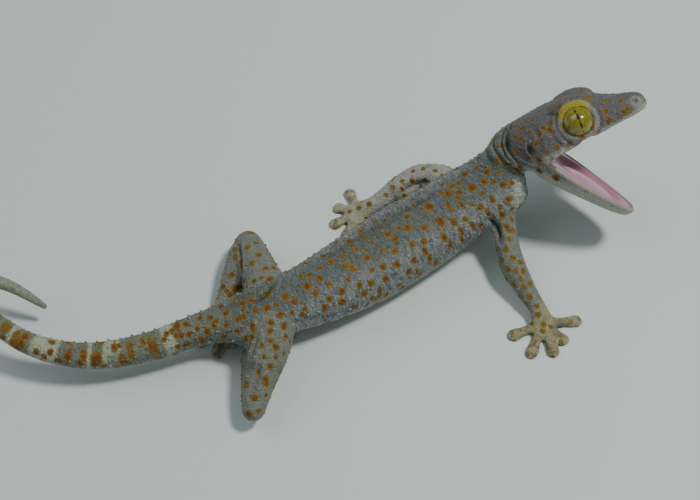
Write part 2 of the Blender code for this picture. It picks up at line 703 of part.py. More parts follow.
def make_limbs(parts):
    torso, neck, tail = parts["torso"], parts["neck"], parts["tail_base"]
    plans = (
        ("arm_upper_right", ARM_RIGHT, "forearm_right", FOREARM_RIGHT, "hand_right", HAND_RIGHT, (torso, neck)),
        ("arm_upper_left", ARM_LEFT, "forearm_left", FOREARM_LEFT, "hand_left", HAND_LEFT, (torso, neck)),
        ("thigh_right", THIGH_RIGHT, "shin_right", SHIN_RIGHT, "foot_right", FOOT_RIGHT, (torso, tail)),
        ("thigh_left", THIGH_LEFT, "shin_left", SHIN_LEFT, "foot_left", FOOT_LEFT, (torso, tail)),
    )
    for upper_name, upper, lower_name, lower, end_name, end, body in plans:
        top = clear_of(limb(upper_name, upper, round_end=True), body)
        shin = clear_of(limb(lower_name, lower, round_start=True), [top, *body])
        foot = clear_of(hand(end_name, *end, lower[-1][3]), [shin, top, *body])
        parts[upper_name] = paint(top, SKIN_LIMB)
        parts[lower_name] = paint(shin, SKIN_LIMB)
        parts[end_name] = paint(foot, SKIN_FOOT)


def centre_on_floor(parts):
    """Moves everything so that the origin is the middle of the footprint, on the floor."""
    points = np.vstack([[tuple(v.co) for v in obj.data.vertices] for obj in parts.values()])
    low, high = points.min(axis=0), points.max(axis=0)
    shift = np.array(((low[0] + high[0]) / 2, (low[1] + high[1]) / 2, low[2]))
    for obj in parts.values():
        obj.location = -shift
    print("moved by", -shift / METRES, "size", (high - low) / METRES)


def main():
    for obj in list(bpy.data.objects):
        bpy.data.objects.remove(obj)
    parts = make_spine()
    parts["head"] = make_head()
    parts["eye_left"] = make_eye("eye_left", 1)
    parts["eye_right"] = make_eye("eye_right", -1)
    parts["lower_jaw"] = make_jaw(parts["head"], parts["neck"])
    parts["tongue"] = make_tongue(parts["lower_jaw"], parts["head"])
    make_limbs(parts)
    add_tubercles(parts)
    for obj in parts.values():
        obj.data.shade_smooth()
    centre_on_floor(parts)


main()
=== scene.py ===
import bmesh
import bpy
import numpy as np
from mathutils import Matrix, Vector
from mathutils.bvhtree import BVHTree
from mathutils.kdtree import KDTree


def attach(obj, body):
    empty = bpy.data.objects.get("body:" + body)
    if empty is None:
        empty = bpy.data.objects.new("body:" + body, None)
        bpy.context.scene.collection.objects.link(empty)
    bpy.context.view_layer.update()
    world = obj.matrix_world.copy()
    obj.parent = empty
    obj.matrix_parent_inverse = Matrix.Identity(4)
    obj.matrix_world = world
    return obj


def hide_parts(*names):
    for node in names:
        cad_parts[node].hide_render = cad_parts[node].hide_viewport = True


# Tokay gecko, life size: one skin with its tubercles, eyes, tongue and claws, on a pale floor.
# Places in the tables are in millimetres, measured as in the solids. Adding moved takes them to the middle
# of the footprint. Meshes are in metres.

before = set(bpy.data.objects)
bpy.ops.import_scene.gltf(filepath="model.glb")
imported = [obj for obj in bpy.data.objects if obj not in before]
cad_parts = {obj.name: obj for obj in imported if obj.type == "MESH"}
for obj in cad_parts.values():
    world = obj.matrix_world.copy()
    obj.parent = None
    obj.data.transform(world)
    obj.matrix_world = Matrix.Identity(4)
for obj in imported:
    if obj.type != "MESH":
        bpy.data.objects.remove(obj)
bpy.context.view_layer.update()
millimetre = 0.001
moved = np.array((10.746, 0.810, 0.0))
random = np.random.default_rng(7)


# Small helpers

def unit(vector):
    vector = np.asarray(vector, dtype=float)
    return vector / np.linalg.norm(vector)


def units(vectors):
    return vectors / np.maximum(np.linalg.norm(vectors, axis=1), 1e-12)[:, None]


# A smooth step from 0 at start to 1 at stop
def fade(values, start, stop):
    share = np.clip((values - start) / (stop - start), 0, 1)
    return share * share * (3 - 2 * share)


# A bell of height 1
def hill(values, middle, width):
    return np.exp(-((values - middle) / width) ** 2)


# The points of a smooth curve through the given ones
def smoothPath(points, steps=4):
    points = np.asarray(points, dtype=float)
    padded = np.vstack([2 * points[0] - points[1], points, 2 * points[-1] - points[-2]])
    dense = []
    for i in range(1, len(padded) - 2):
        a, b, c, d = padded[i - 1:i + 3]
        for t in np.arange(steps) / steps:
            dense.append(0.5 * (2 * b + (c - a) * t + (2 * a - 5 * b + 4 * c - d) * t ** 2
                                + (3 * b - a - 3 * c + d) * t ** 3))
    dense.append(points[-1])
    return np.array(dense)


# For each point, its distance from the path and how far along the path that is
def nearestOnPath(points, path):
    best = np.full(len(points), np.inf)
    along = np.zeros(len(points))
    walked = 0.0
    for start, stop in zip(path, path[1:]):
        leg = stop - start
        length = np.linalg.norm(leg)
        share = np.clip((points - start) @ leg / length ** 2, 0, 1)
        away = np.linalg.norm(points - start - share[:, None] * leg, axis=1)
        closer = away < best
        best[closer] = away[closer]
        along[closer] = walked + share[closer] * length
        walked += length
    return best, along


# A mesh object at the origin, from places in millimetres
def makeObject(name, vertices, faces):
    mesh = bpy.data.meshes.new(name)
    mesh.from_pydata((np.asarray(vertices) * millimetre).tolist(), [], [list(f) for f in faces])
    mesh.update()
    return linkObject(name, mesh)


def linkObject(name, data):
    obj = bpy.data.objects.new(name, data)
    bpy.context.scene.collection.objects.link(obj)
    return obj


def choose(obj):
    bpy.ops.object.select_all(action="DESELECT")
    obj.select_set(True)
    bpy.context.view_layer.objects.active = obj


def applyModifier(obj, kind, **settings):
    choose(obj)
    change = obj.modifiers.new(kind.lower(), kind)
    for name, value in settings.items():
        setattr(change, name, value)
    bpy.ops.object.modifier_apply(modifier=change.name)


def shadeSmooth(obj):
    choose(obj)
    bpy.ops.object.shade_smooth()


# A row of values for each item of a mesh
def readAll(items, key, width, kind=float):
    flat = np.empty(len(items) * width, dtype=kind)
    items.foreach_get(key, flat)
    return flat.reshape(-1, width)


def places(mesh):
    return readAll(mesh.vertices, "co", 3) / millimetre


def setPlaces(mesh, points):
    mesh.vertices.foreach_set("co", (points * millimetre).ravel())
    mesh.update()


def normalsOf(mesh):
    return readAll(mesh.vertices, "normal", 3)


def edgePairs(mesh):
    return readAll(mesh.edges, "vertices", 2, int)


def addValues(mesh, name, values):
    layer = mesh.attributes.new(name, "FLOAT", "POINT")
    layer.data.foreach_set("value", np.asarray(values, dtype=np.float32))


def readValues(mesh, name):
    return readAll(mesh.attributes[name].data, "value", 1, np.float32).ravel()


# Values spread over the mesh, more where weight is larger
def smoothed(values, pairs, times, weight):
    count = len(values)
    a, b = pairs.T
    degree = np.maximum(np.bincount(a, minlength=count) + np.bincount(b, minlength=count), 1)
    values = np.array(values, dtype=float)
    columns = values.reshape(count, -1)
    weight = np.broadcast_to(weight, count)
    for _ in range(times):
        total = np.column_stack([np.bincount(a, column[b], count) + np.bincount(b, column[a], count)
                                 for column in columns.T])
        columns += weight[:, None] * (total / degree[:, None] - columns)
    return values


def surfaceTree(mesh):
    return BVHTree.FromPolygons([Vector(p) for p in places(mesh)], [p.vertices[:] for p in mesh.polygons])


def pointTree(points):
    tree = KDTree(len(points))
    for index, point in enumerate(points):
        tree.insert(point, index)
    tree.balance()
    return tree


# Head and lower jaw: distances forward, left and up from the base of the skull, angles in degrees

head = {
    "base": moved + (55.0, 3.3, 26.2), "turn": -29.0, "lift": 22.0, "roll": 42.0,
    "eye": (20.9, 9.6, 2.4), "eyeFacing": (0.18, 0.93, 0.32), "eyeRadius": 5.3,
    "jawHinge": (9.0, -6.4), "jawDrop": 50.0, "nostril": (38.3, 4.3, 3.0), "ear": (5.6, 13.2, -1.0),
    "lip": [(12.0, 12.0, -5.3), (16.0, 11.2, -4.2), (20.4, 9.8, -3.4), (25.0, 8.4, -2.5), (29.5, 7.1, -1.7),
            (34.0, 5.9, -0.8), (37.6, 4.7, -0.1), (40.0, 2.9, 0.5), (41.0, 0.0, 0.7)],
    "jawLip": [(4.0, 12.3, 0.0), (9.0, 12.1, 0.0), (13.0, 11.2, 0.0), (18.0, 9.6, 0.0), (24.0, 7.2, 0.0),
               (28.0, 5.0, 0.0), (30.2, 2.6, 0.0), (31.2, 0.0, 0.0)],
    "halfWidth": [(8, 13.5), (12, 14), (16, 13), (20, 11.4), (25, 9.8), (30, 8.2), (34, 6.9), (38, 5.2),
                  (41, 2.5)]}


def headAxes():
    turn, lift, roll = np.radians((head["turn"], head["lift"], head["roll"]))
    forward = np.array((np.cos(turn) * np.cos(lift), np.sin(turn) * np.cos(lift), np.sin(lift)))
    levelLeft = unit(np.cross((0, 0, 1), forward))
    up = np.cross(forward, levelLeft) * np.cos(roll) + levelLeft * np.sin(roll)
    return forward, np.cross(up, forward), up


def headPoint(forward, left, up):
    along, side, top = headAxes()
    return head["base"] + forward * along + left * side + up * top


def headPlace(points):
    return (points - head["base"]) @ np.array(headAxes()).T


def jawAxes():
    forward, left, up = headAxes()
    drop = np.radians(head["jawDrop"])
    return np.cos(drop) * forward - np.sin(drop) * up, left, np.sin(drop) * forward + np.cos(drop) * up


def jawHinge():
    forward, up = head["jawHinge"]
    return headPoint(forward, 0.0, up)


# Places as distances from the hinge of the lower jaw, in its own directions
def jawPlace(points):
    return (points - jawHinge()) @ np.array(jawAxes()).T


def jawPoint(forward, left, up):
    along, side, above = jawAxes()
    return jawHinge() + forward * along + left * side + up * above


# A path over both sides of the head, from its points on the left
def bothSides(points, place):
    right = [(forward, -left, up) for forward, left, up in points[-2::-1]]
    return np.array([place(*point) for point in points + right])


def lipPaths():
    upper, lower = bothSides(head["lip"], headPoint), bothSides(head["jawLip"], jawPoint)
    return smoothPath(upper, 3), smoothPath(lower, 3)


def onBothSides(name):
    forward, left, up = head[name]
    return [headPoint(forward, side * left, up) for side in (1, -1)]


def headWidth(forward):
    return np.interp(forward, *np.transpose(head["halfWidth"]))


# Spine from the neck to the end of the tail

spine = moved + smoothPath([
    (55.2, 1.6, 25.2), (50.6, -1.0, 21.2), (45.6, -1.8, 17.8), (40.8, -1.4, 15.5), (33.0, -0.9, 13.6),
    (22.8, -0.9, 11.8), (11.0, -1.2, 10.8), (0.0, -1.9, 10.5), (-11.0, -2.7, 11.4), (-21.9, -3.0, 12.5),
    (-30.0, -2.2, 13.0), (-38.0, -0.6, 12.6), (-45.6, 1.8, 11.6), (-50.6, 3.6, 10.9), (-55.5, 5.2, 10.2),
    (-70.6, 8.3, 9.2), (-84.3, 13.1, 9.7), (-93.8, 19.3, 11.0), (-100.9, 26.7, 13.0), (-105.2, 34.4, 15.0),
    (-108.4, 41.4, 16.4), (-107.6, 48.6, 16.8), (-102.4, 50.6, 15.6), (-97.2, 46.6, 13.0),
    (-93.2, 41.6, 9.6), (-90.6, 38.2, 6.6)])
spineLength = np.concatenate([[0], np.cumsum(np.linalg.norm(np.diff(spine, axis=0), axis=1))])
spineTangent = units(np.gradient(spine, axis=0))
tailStart = spineLength[12 * 4]  # the thirteenth point, with four steps to each

# Half the body's width by the length along the spine, in millimetres
trunkWidth = [(0, 8), (30, 11), (80, 11), (110, 7), (150, 4.5), (200, 3), (240, 1.5)]


def onSpine(length, table):
    return np.array([np.interp(length, spineLength, column) for column in table.T])


# The middle of the body at a length, and the directions backward, left and up there
def spineFrame(length):
    backward = unit(onSpine(length + 0.5, spine) - onSpine(length - 0.5, spine))
    up = unit(np.array((0, 0, 1)) - backward[2] * backward)
    return onSpine(length, spine), backward, np.cross(backward, up), up


# How far along the spine each place is, and how far round the body from the ridge of the back
def trunkPlace(points):
    along = nearestOnPath(points, spine)[1]
    middle, backward = onSpine(along, spine).T, onSpine(along, spineTangent).T
    up = units(np.array((0, 0, 1.0)) - backward[:, 2:] * backward)
    left = np.cross(backward, up)
    offset = points - middle
    angle = np.arctan2(np.sum(offset * left, axis=1), np.sum(offset * up, axis=1))
    return along, angle * np.interp(along, *np.transpose(trunkWidth))


# The middle of each palm and the tips of its toes

feet = {
    "hand_right": ((35.0, -43.6),
                   [(46.2, -48.4), (37.6, -52.4), (31.6, -54.2), (24.8, -50.4), (23.6, -41.2)]),
    "hand_left": ((9.6, 20.6),
                  [(11.8, 31.2), (4.2, 27.6), (-0.8, 21.8), (0.6, 15.2), (7.0, 12.2)]),
    "foot_right": ((-41.2, -5.6),
                   [(-35.4, -8.2), (-30.0, -5.6), (-27.6, -0.8), (-29.8, 4.0), (-35.8, 4.0)]),
    "foot_left": ((-47.2, 8.6),
                  [(-41.8, 2.4), (-48.2, -0.7), (-54.4, -1.0), (-57.8, 6.4), (-55.0, 12.4)])}


# Camera, which also lays folds and spots where the picture shows them

view = {"target": moved + (0.0, 11.0, 0.0), "back": (-0.28860, -0.46190, 0.83867), "distance": 370.0,
        "lens": 60.0, "sensor": 36.0, "width": 700, "height": 500, "clip": (0.01, 20.0)}


def viewAxes():
    back = unit(view["back"])
    right = unit(np.cross((0, 0, 1), back))
    return right, np.cross(back, right), back


def makeCamera():
    back = viewAxes()[2]
    data = bpy.data.cameras.new("camera")
    data.lens = view["lens"]
    data.sensor_width = view["sensor"]
    data.clip_start, data.clip_end = view["clip"]
    camera = linkObject("camera", data)
    camera.location = (view["target"] + back * view["distance"]) * millimetre
    camera.rotation_euler = Vector(back).to_track_quat("Z", "Y").to_euler()
    bpy.context.scene.camera = camera


# The place on the skin that the picture shows at a pixel
def onSkin(tree, x, y):
    right, up, back = viewAxes()
    start = view["target"] + back * view["distance"]
    focal = view["lens"] / view["sensor"] * view["width"]
    ray = unit(right * (x - view["width"] / 2) + up * (view["height"] / 2 - y) - back * focal)
    hit = tree.ray_cast(Vector(start), Vector(ray))[0]
    return None if hit is None else np.array(hit)


# One skin over the flesh

skinPlan = {
    "swell": 0.17, "cell": 0.44, "rounds": 40, "share": 0.6, "kept": 0.71, "down": -0.15, "hidden": -0.1,
    "nodes": ["head", "lower_jaw", "neck", "torso", "tail_base", "tail_middle", "tail_curl", "tail_tip",
              "arm_upper_left", "arm_upper_right", "forearm_left", "forearm_right", "hand_left",
              "hand_right", "thigh_left", "thigh_right", "shin_left", "shin_right", "foot_left",
              "foot_right"],
    "softness": {"head": 0.16, "lower_jaw": 0.2, "neck": 0.6, "torso": 0.9, "tail_base": 0.5,
                 "tail_middle": 0.4, "tail_curl": 0.3, "tail_tip": 0.15, "hand": 0.1, "foot": 0.1,
                 "arm": 0.6, "forearm": 0.6, "thigh": 0.8, "shin": 0.8}}
nodeNames = np.array(skinPlan["nodes"])
nodeKinds = np.array([name.split("_")[0] for name in skinPlan["nodes"]])

# Balls that fill the hollow of the left knee and blunt the end of the tail: middle, radius and node
tailBall = (-91.2, 38.9, 7.2), 1.1, "tail_tip"
fillings = [((-38.4, 12.8, 5.4), 2.7, "thigh_left"), tailBall, ((-92.2, 40.3, 8.4), 1.35, "tail_tip")]
# Balls under the surface that the picture shows at a pixel. They fill the hollows behind the jaw, and
# between the tail and the right thigh: pixel, depth of the middle, radius and node
hollows = [(509, 143, 2.4, 3.1, "neck"), (511, 150, 2.4, 3.1, "neck"), (514, 157, 2.4, 3.1, "neck"),
           (519, 164, 2.4, 3.0, "neck"), (243, 336, 3.0, 3.5, "thigh_right"),
           (247, 333, 3.0, 3.4, "thigh_right")]


# For each place on the skin, the value that its node has in a table under its full name or its first word
def byNode(table, region):
    return np.array([table.get(name, table.get(kind)) for name, kind in zip(nodeNames, nodeKinds)])[region]


# The skin, and for each of its vertices the number of the node that it lies on
def makeSkin():
    nodes = skinPlan["nodes"]
    vertices, faces, owner = [], [], []

    def take(work, name, placeOf):
        start = len(vertices)
        vertices.extend(placeOf(vert) for vert in work.verts)
        faces.extend([start + vert.index for vert in face.verts] for face in work.faces)
        owner.extend([nodes.index(name)] * len(work.faces))
        work.free()

    for name in nodes:
        work = bmesh.new()
        work.from_mesh(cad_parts[name].data)
        bmesh.ops.remove_doubles(work, verts=work.verts, dist=2e-6)
        work.verts.index_update()
        work.normal_update()
        take(work, name, lambda v: np.array(v.co) / millimetre + np.array(v.normal) * skinPlan["swell"])
    tree = BVHTree.FromPolygons([Vector(v) for v in vertices], faces)
    balls = [(moved + middle, radius, name) for middle, radius, name in fillings]
    for x, y, depth, radius, name in hollows:
        balls.append((onSkin(tree, x, y) - viewAxes()[2] * depth, radius, name))
    for middle, radius, name in balls:
        work = bmesh.new()
        bmesh.ops.create_icosphere(work, subdivisions=3, radius=radius)
        take(work, name, lambda v: middle + np.array(v.co))
    tree = BVHTree.FromPolygons([Vector(v) for v in vertices], faces)
    skin = makeObject("skin", vertices, faces)
    applyModifier(skin, "REMESH", mode="VOXEL", voxel_size=skinPlan["cell"] * millimetre)
    keepOutside(skin)
    points = places(skin.data)
    region = np.array([owner[tree.find_nearest(Vector(p))[2]] for p in points])
    pairs = edgePairs(skin.data)
    softness = smoothed(byNode(skinPlan["softness"], region), pairs, 12, 0.5)
    points = bluntTail(smoothed(points, pairs, skinPlan["rounds"], softness * skinPlan["share"]))
    points[:, 2] = np.maximum(points[:, 2], 0.0)
    setPlaces(skin.data, points)
    return skin, region


# Rounds the end of the tail over the ball that sits in it
def bluntTail(points):
    middle, radius, _ = tailBall
    middle = moved + middle
    away = np.linalg.norm(points - middle, axis=1)
    past = (away < 4) & ((points - middle) @ unit(spine[-1] - spine[-5]) > 0)
    points[past] = middle + units(points[past] - middle) * np.minimum(away[past], radius)[:, None]
    return points


# Keeps the largest surface of the mesh and drops the rest
def keepOutside(obj):
    work = bmesh.new()
    work.from_mesh(obj.data)
    left = set(work.verts)
    shells = []
    while left:
        shell = [left.pop()]
        for vert in shell:
            for edge in vert.link_edges:
                other = edge.other_vert(vert)
                if other in left:
                    left.discard(other)
                    shell.append(other)
        shells.append(shell)
    shells.sort(key=len)
    bmesh.ops.delete(work, geom=[v for shell in shells[:-1] for v in shell], context="VERTS")
    work.to_mesh(obj.data)
    work.free()


# Takes faces out of the underside, where it looks away from the camera
def thinBelow(skin):
    normals = normalsOf(skin.data)
    below = (normals[:, 2] < skinPlan["down"]) & (normals @ viewAxes()[2] < skinPlan["hidden"])
    group = skin.vertex_groups.new(name="underside")
    group.add(np.flatnonzero(below).tolist(), 1.0, "REPLACE")
    applyModifier(skin, "DECIMATE", ratio=skinPlan["kept"], vertex_group="underside")
    skin.vertex_groups.clear()


# Folds and grooves: half width and depth in millimetres, and the path as pixels of the picture

folds = [
    (0.5, 0.65, [(511, 125), (508, 136), (508, 148), (514, 159), (526, 165), (541, 170)]),
    (0.45, 0.55, [(495, 136), (493, 147), (499, 157), (509, 165), (520, 172), (532, 177)]),
    (0.4, 0.45, [(503, 131), (501, 142), (504, 153), (512, 163)]),
    (0.9, 0.5, [(486, 143), (487, 156), (494, 168)]),
    (0.5, 0.5, [(516, 163), (527, 172), (540, 176)]),
    (0.7, 0.25, [(531, 124), (538, 137), (541, 150)]),
    (0.8, 1.0, [(256, 301), (262, 297), (271, 287)]),
    (0.6, 0.7, [(238, 243), (241, 262), (242, 278), (241, 293)]),
    (0.55, 0.5, [(258, 337), (254, 347), (251, 357)]),
    (0.7, 0.5, [(260, 368), (256, 382), (251, 396)]),
    (1.3, 0.35, [(330, 256), (352, 240), (380, 224), (402, 210), (422, 199)]),
    (1.1, 0.8, [(402, 191), (412, 186), (424, 183), (431, 181)]),
    (1.2, 0.35, [(297, 320), (318, 318), (338, 314), (356, 305)]),
    (0.9, 1.2, [(490, 219), (495, 224), (498, 232), (500, 240)]),
    (0.8, 0.4, [(372, 222), (392, 212), (410, 206), (430, 196)]),
    (1.0, 0.3, [(300, 264), (318, 258), (336, 249)]),
]


# Pushes the skin in along a path, with a soft swell on both sides
def pressFold(points, normals, path, width, depth):
    away = nearestOnPath(points, path)[0]
    groove = hill(away, 0.0, width)
    swell = 0.35 * hill(away, 2.1 * width, width)
    ends = np.minimum(np.linalg.norm(points - path[0], axis=1), np.linalg.norm(points - path[-1], axis=1))
    taper = fade(ends, 0.0, 2.5 * width) * 0.8 + 0.2
    return points - normals * (depth * (groove - swell) * taper)[:, None]


# Presses the folds in, and marks the bottom of each for painted shade, darker where the fold is deeper
def addFolds(skin):
    mesh = skin.data
    creaseShade = np.zeros(len(mesh.vertices))
    tree = surfaceTree(mesh)
    for width, depth, pixels in folds:
        path = [onSkin(tree, x, y) for x, y in smoothPath(pixels, 3)]
        path = np.array([p for p in path if p is not None])
        away = nearestOnPath(places(mesh), path)[0]
        # Painted shade: how much the skin is darkened along the bottom of this fold
        creaseShade = np.maximum(creaseShade, min(depth, 1.0) * hill(away, 0.0, 0.55 * width))
        setPlaces(mesh, pressFold(places(mesh), normalsOf(mesh), path, width, depth))
    addValues(mesh, "creaseShade", creaseShade)


# Eyes. Each is a ball with the bulge of the cornea, smaller than its socket by the slack. The lengths are
# in millimetres and the bulge's turn in radians.

eyePlan = {"rings": 40, "around": 64, "bulge": 0.75, "bulgeTurn": 0.75, "slack": 0.5}


def eyeAxes(side):
    forward, left, up = head["eyeFacing"]
    facing = unit(np.array((forward, side * left, up)) @ np.array(headAxes()))
    across = unit(np.cross(headAxes()[2], facing))
    return facing, across, np.cross(facing, across)


def eyeMiddle(side):
    forward, left, up = head["eye"]
    return headPoint(forward, side * left, up)


# Distances along the eye's axis and away from it, and the direction away from it
def eyeOffsets(points, side):
    facing = eyeAxes(side)[0]
    offset = points - eyeMiddle(side)
    depth = offset @ facing
    flat = offset - depth[:, None] * facing
    return depth, np.linalg.norm(flat, axis=1), units(flat)


def makeEye(name, side):
    bpy.ops.mesh.primitive_uv_sphere_add(segments=eyePlan["around"], ring_count=eyePlan["rings"],
                                         radius=millimetre, calc_uvs=False, location=(0, 0, 0))
    eye = bpy.context.object
    eye.name = name
    facing, across, above = eyeAxes(side)
    out = places(eye.data)
    turn = np.arccos(np.clip(out[:, 2], -1, 1))
    radius = head["eyeRadius"] - eyePlan["slack"] + eyePlan["bulge"] * hill(turn, 0.0, eyePlan["bulgeTurn"])
    setPlaces(eye.data, eyeMiddle(side) + (out @ np.array((across, above, facing))) * radius[:, None])
    flat = units(out[:, :2]) * (turn / (np.pi / 2))[:, None]
    addValues(eye.data, "eyeAcross", flat[:, 0])
    addValues(eye.data, "eyeUp", flat[:, 1])
    shadeSmooth(eye)
    return eye


# Lids, lips, nostrils and ears, in millimetres. The lids are drawn in to a ball over the eye. A ring is its
# distance from the eye's axis, the lip or the middle of the hole, its width and its height. Other pairs are
# where an effect starts and where it is whole; for the holes, that effect is the painted shade inside the
# nostrils and ears. Pale rings have a distance and a width.

rims = {"lidBall": 4.95, "lidPull": 1.1, "lidFades": (6.9, 5.7), "lidDepth": (-3.4, -2.0),
        "ringReach": 11.0, "ringDepth": (-1.5, 0.5),
        "rings": [(5.35, 0.45, 0.42), (6.5, 0.42, -0.34), (7.55, 0.5, 0.26), (8.6, 0.55, -0.26)],
        "lip": [(0.0, 0.6, 0.28), (1.5, 0.5, -0.14)],
        "nostril": [(1.25, 0.4, 0.3), (0.0, 0.7, -1.1)],
        "ear": [(1.35, 0.4, 0.35), (0.0, 1.0, -0.9)], "earSize": (0.9, 4.0, 1.7),
        "markReach": 10, "markDepth": (-3.0, -1.5), "browShare": (0.15, 0.75), "yellow": (6.7, 6.0),
        "paleLid": (5.85, 0.6), "paleNostril": (1.45, 0.45), "lipMark": (1.15, 0.55), "holeShade": (0.9, 0.4)}


def ringHeight(away, rings):
    return sum(height * hill(away, middle, width) for middle, width, height in rings)


# How far each place is from the middle of an ear, in half sizes of the ear
def earDistance(points, place):
    return np.linalg.norm((headPlace(points) - headPlace(place)) / rims["earSize"], axis=1)


def detailHead(skin):
    points, normals = places(skin.data), normalsOf(skin.data)
    change = np.zeros(len(points))
    for side in (1, -1):
        depth, away, direction = eyeOffsets(points, side)
        ball = np.sqrt(np.maximum(rims["lidBall"] ** 2 - depth ** 2, 0))
        inward = np.clip(away - ball, 0, rims["lidPull"])
        inward = inward * fade(away, *rims["lidFades"]) * fade(depth, *rims["lidDepth"])
        points = points - direction * inward[:, None]
        away = away - inward
        near = fade(depth, *rims["ringDepth"]) * (away < rims["ringReach"])
        change += ringHeight(away, rims["rings"]) * near
    for path in lipPaths():
        change += ringHeight(nearestOnPath(points, path)[0], rims["lip"])
    for place in onBothSides("nostril"):
        change += ringHeight(np.linalg.norm(points - place, axis=1), rims["nostril"])
    for place in onBothSides("ear"):
        change += ringHeight(earDistance(points, place), rims["ear"])
    setPlaces(skin.data, points + normals * change[:, None])


# Where the lids are yellow or pale, where the lips are, and where shade is painted in the nostril and ear
# holes
def markHead(skin):
    mesh = skin.data
    points = places(mesh)
    yellow, ring = np.zeros(len(points)), np.zeros(len(points))
    lip, holeShade = np.zeros(len(points)), np.zeros(len(points))
    browUp = viewAxes()[1] - 0.35 * viewAxes()[0]  # up and a little to the left in the picture
    for side in (1, -1):
        depth, away, direction = eyeOffsets(points, side)
        near = fade(depth, *rims["markDepth"]) * (away < rims["markReach"])
        _, nearAcross, nearAbove = eyeAxes(1)
        _, across, above = eyeAxes(side)
        brow = unit((browUp @ nearAcross) * side * across + (browUp @ nearAbove) * above)
        upper = fade(direction @ brow, *rims["browShare"])
        yellow = np.maximum(yellow, near * upper * fade(away, *rims["yellow"]))
        ring = np.maximum(ring, near * hill(away, *rims["paleLid"]) * (1 - 0.8 * upper))
    for path in lipPaths():
        lip = np.maximum(lip, fade(nearestOnPath(points, path)[0], *rims["lipMark"]))
    for place in onBothSides("nostril"):
        away = np.linalg.norm(points - place, axis=1)
        # Painted shade: the nostril is darkened nearly to black, as shade falls into the hole
        holeShade = np.maximum(holeShade, 0.8 * fade(away, *rims["holeShade"]))
        ring = np.maximum(ring, 0.5 * hill(away, *rims["paleNostril"]))
    for place in onBothSides("ear"):
        # Painted shade inside the ear opening
        holeShade = np.maximum(holeShade, 0.5 * fade(earDistance(points, place), *rims["holeShade"]))
    for name, values in (("lidYellow", yellow), ("rim", ring), ("lip", lip), ("holeShade", holeShade)):
        addValues(mesh, name, values)


# The lining of the mouth, in millimetres from the base of the skull or the hinge of the jaw. Facing is how
# far a normal goes along a direction.

mouthPlan = {"roofStart": 9, "roofFacing": -0.25, "roofShare": 0.86, "floorStart": -3, "floorMiddle": 14,
             "floorHalf": 11.5, "floorFacing": 0.2, "wallFacing": 0.35, "low": 0.4, "high": 1.2,
             "lipWidth": 1.2, "eyeClear": 6.0, "lidClear": 9.5, "lidDepth": -1.5}


# 1 on the lining of the mouth and 0 outside it
def mouthShare(points, normals, region):
    plan = mouthPlan
    names = nodeNames[region]
    inHead, inJaw = headPlace(points), jawPlace(points)
    roof = (names == "head") & (inHead[:, 0] > plan["roofStart"])
    roof &= normals @ headAxes()[2] < plan["roofFacing"]
    roof &= abs(inHead[:, 1]) < plan["roofShare"] * headWidth(inHead[:, 0])
    for side in (1, -1):
        depth, away, _ = eyeOffsets(points, side)
        roof &= np.hypot(depth, away) >= plan["eyeClear"]
        roof &= (away >= plan["lidClear"]) | (depth <= plan["lidDepth"])
    toMiddle = np.column_stack([plan["floorMiddle"] - inJaw[:, 0], -inJaw[:, 1], 0 * inJaw[:, 0]])
    inward = units(toMiddle) @ np.array(jawAxes())
    lining = normals @ jawAxes()[2] > plan["floorFacing"]
    lining |= np.sum(normals * inward, axis=1) > plan["wallFacing"]
    fromLip = nearestOnPath(points, lipPaths()[1])[0]
    inside = (inJaw[:, 2] < plan["low"]) | ((inJaw[:, 2] < plan["high"]) & (fromLip > plan["lipWidth"]))
    floor = (names == "lower_jaw") & inside & lining & (inJaw[:, 0] > plan["floorStart"])
    floor &= abs(inJaw[:, 1]) < plan["floorHalf"]
    return (roof | floor).astype(float)


# Markings. Spots that aren't drawn have a spacing and a radius in millimetres. A spot has no effect beyond
# its reach, in radii.

marks = {"reach": 2.6, "room": (0.82, 1.05), "sizes": (0.72, 1.15), "spots": {
    "torso": (4.5, 1.22), "neck": (4.2, 1.05), "head": (4.0, 0.9), "lower_jaw": (4.4, 0.9),
    "arm": (3.9, 0.95), "forearm": (3.5, 0.95), "hand": (3.4, 0.8), "thigh": (4.1, 1.05),
    "shin": (3.8, 1.0), "foot": (3.4, 0.8), "tail": (4.2, 1.1)}}
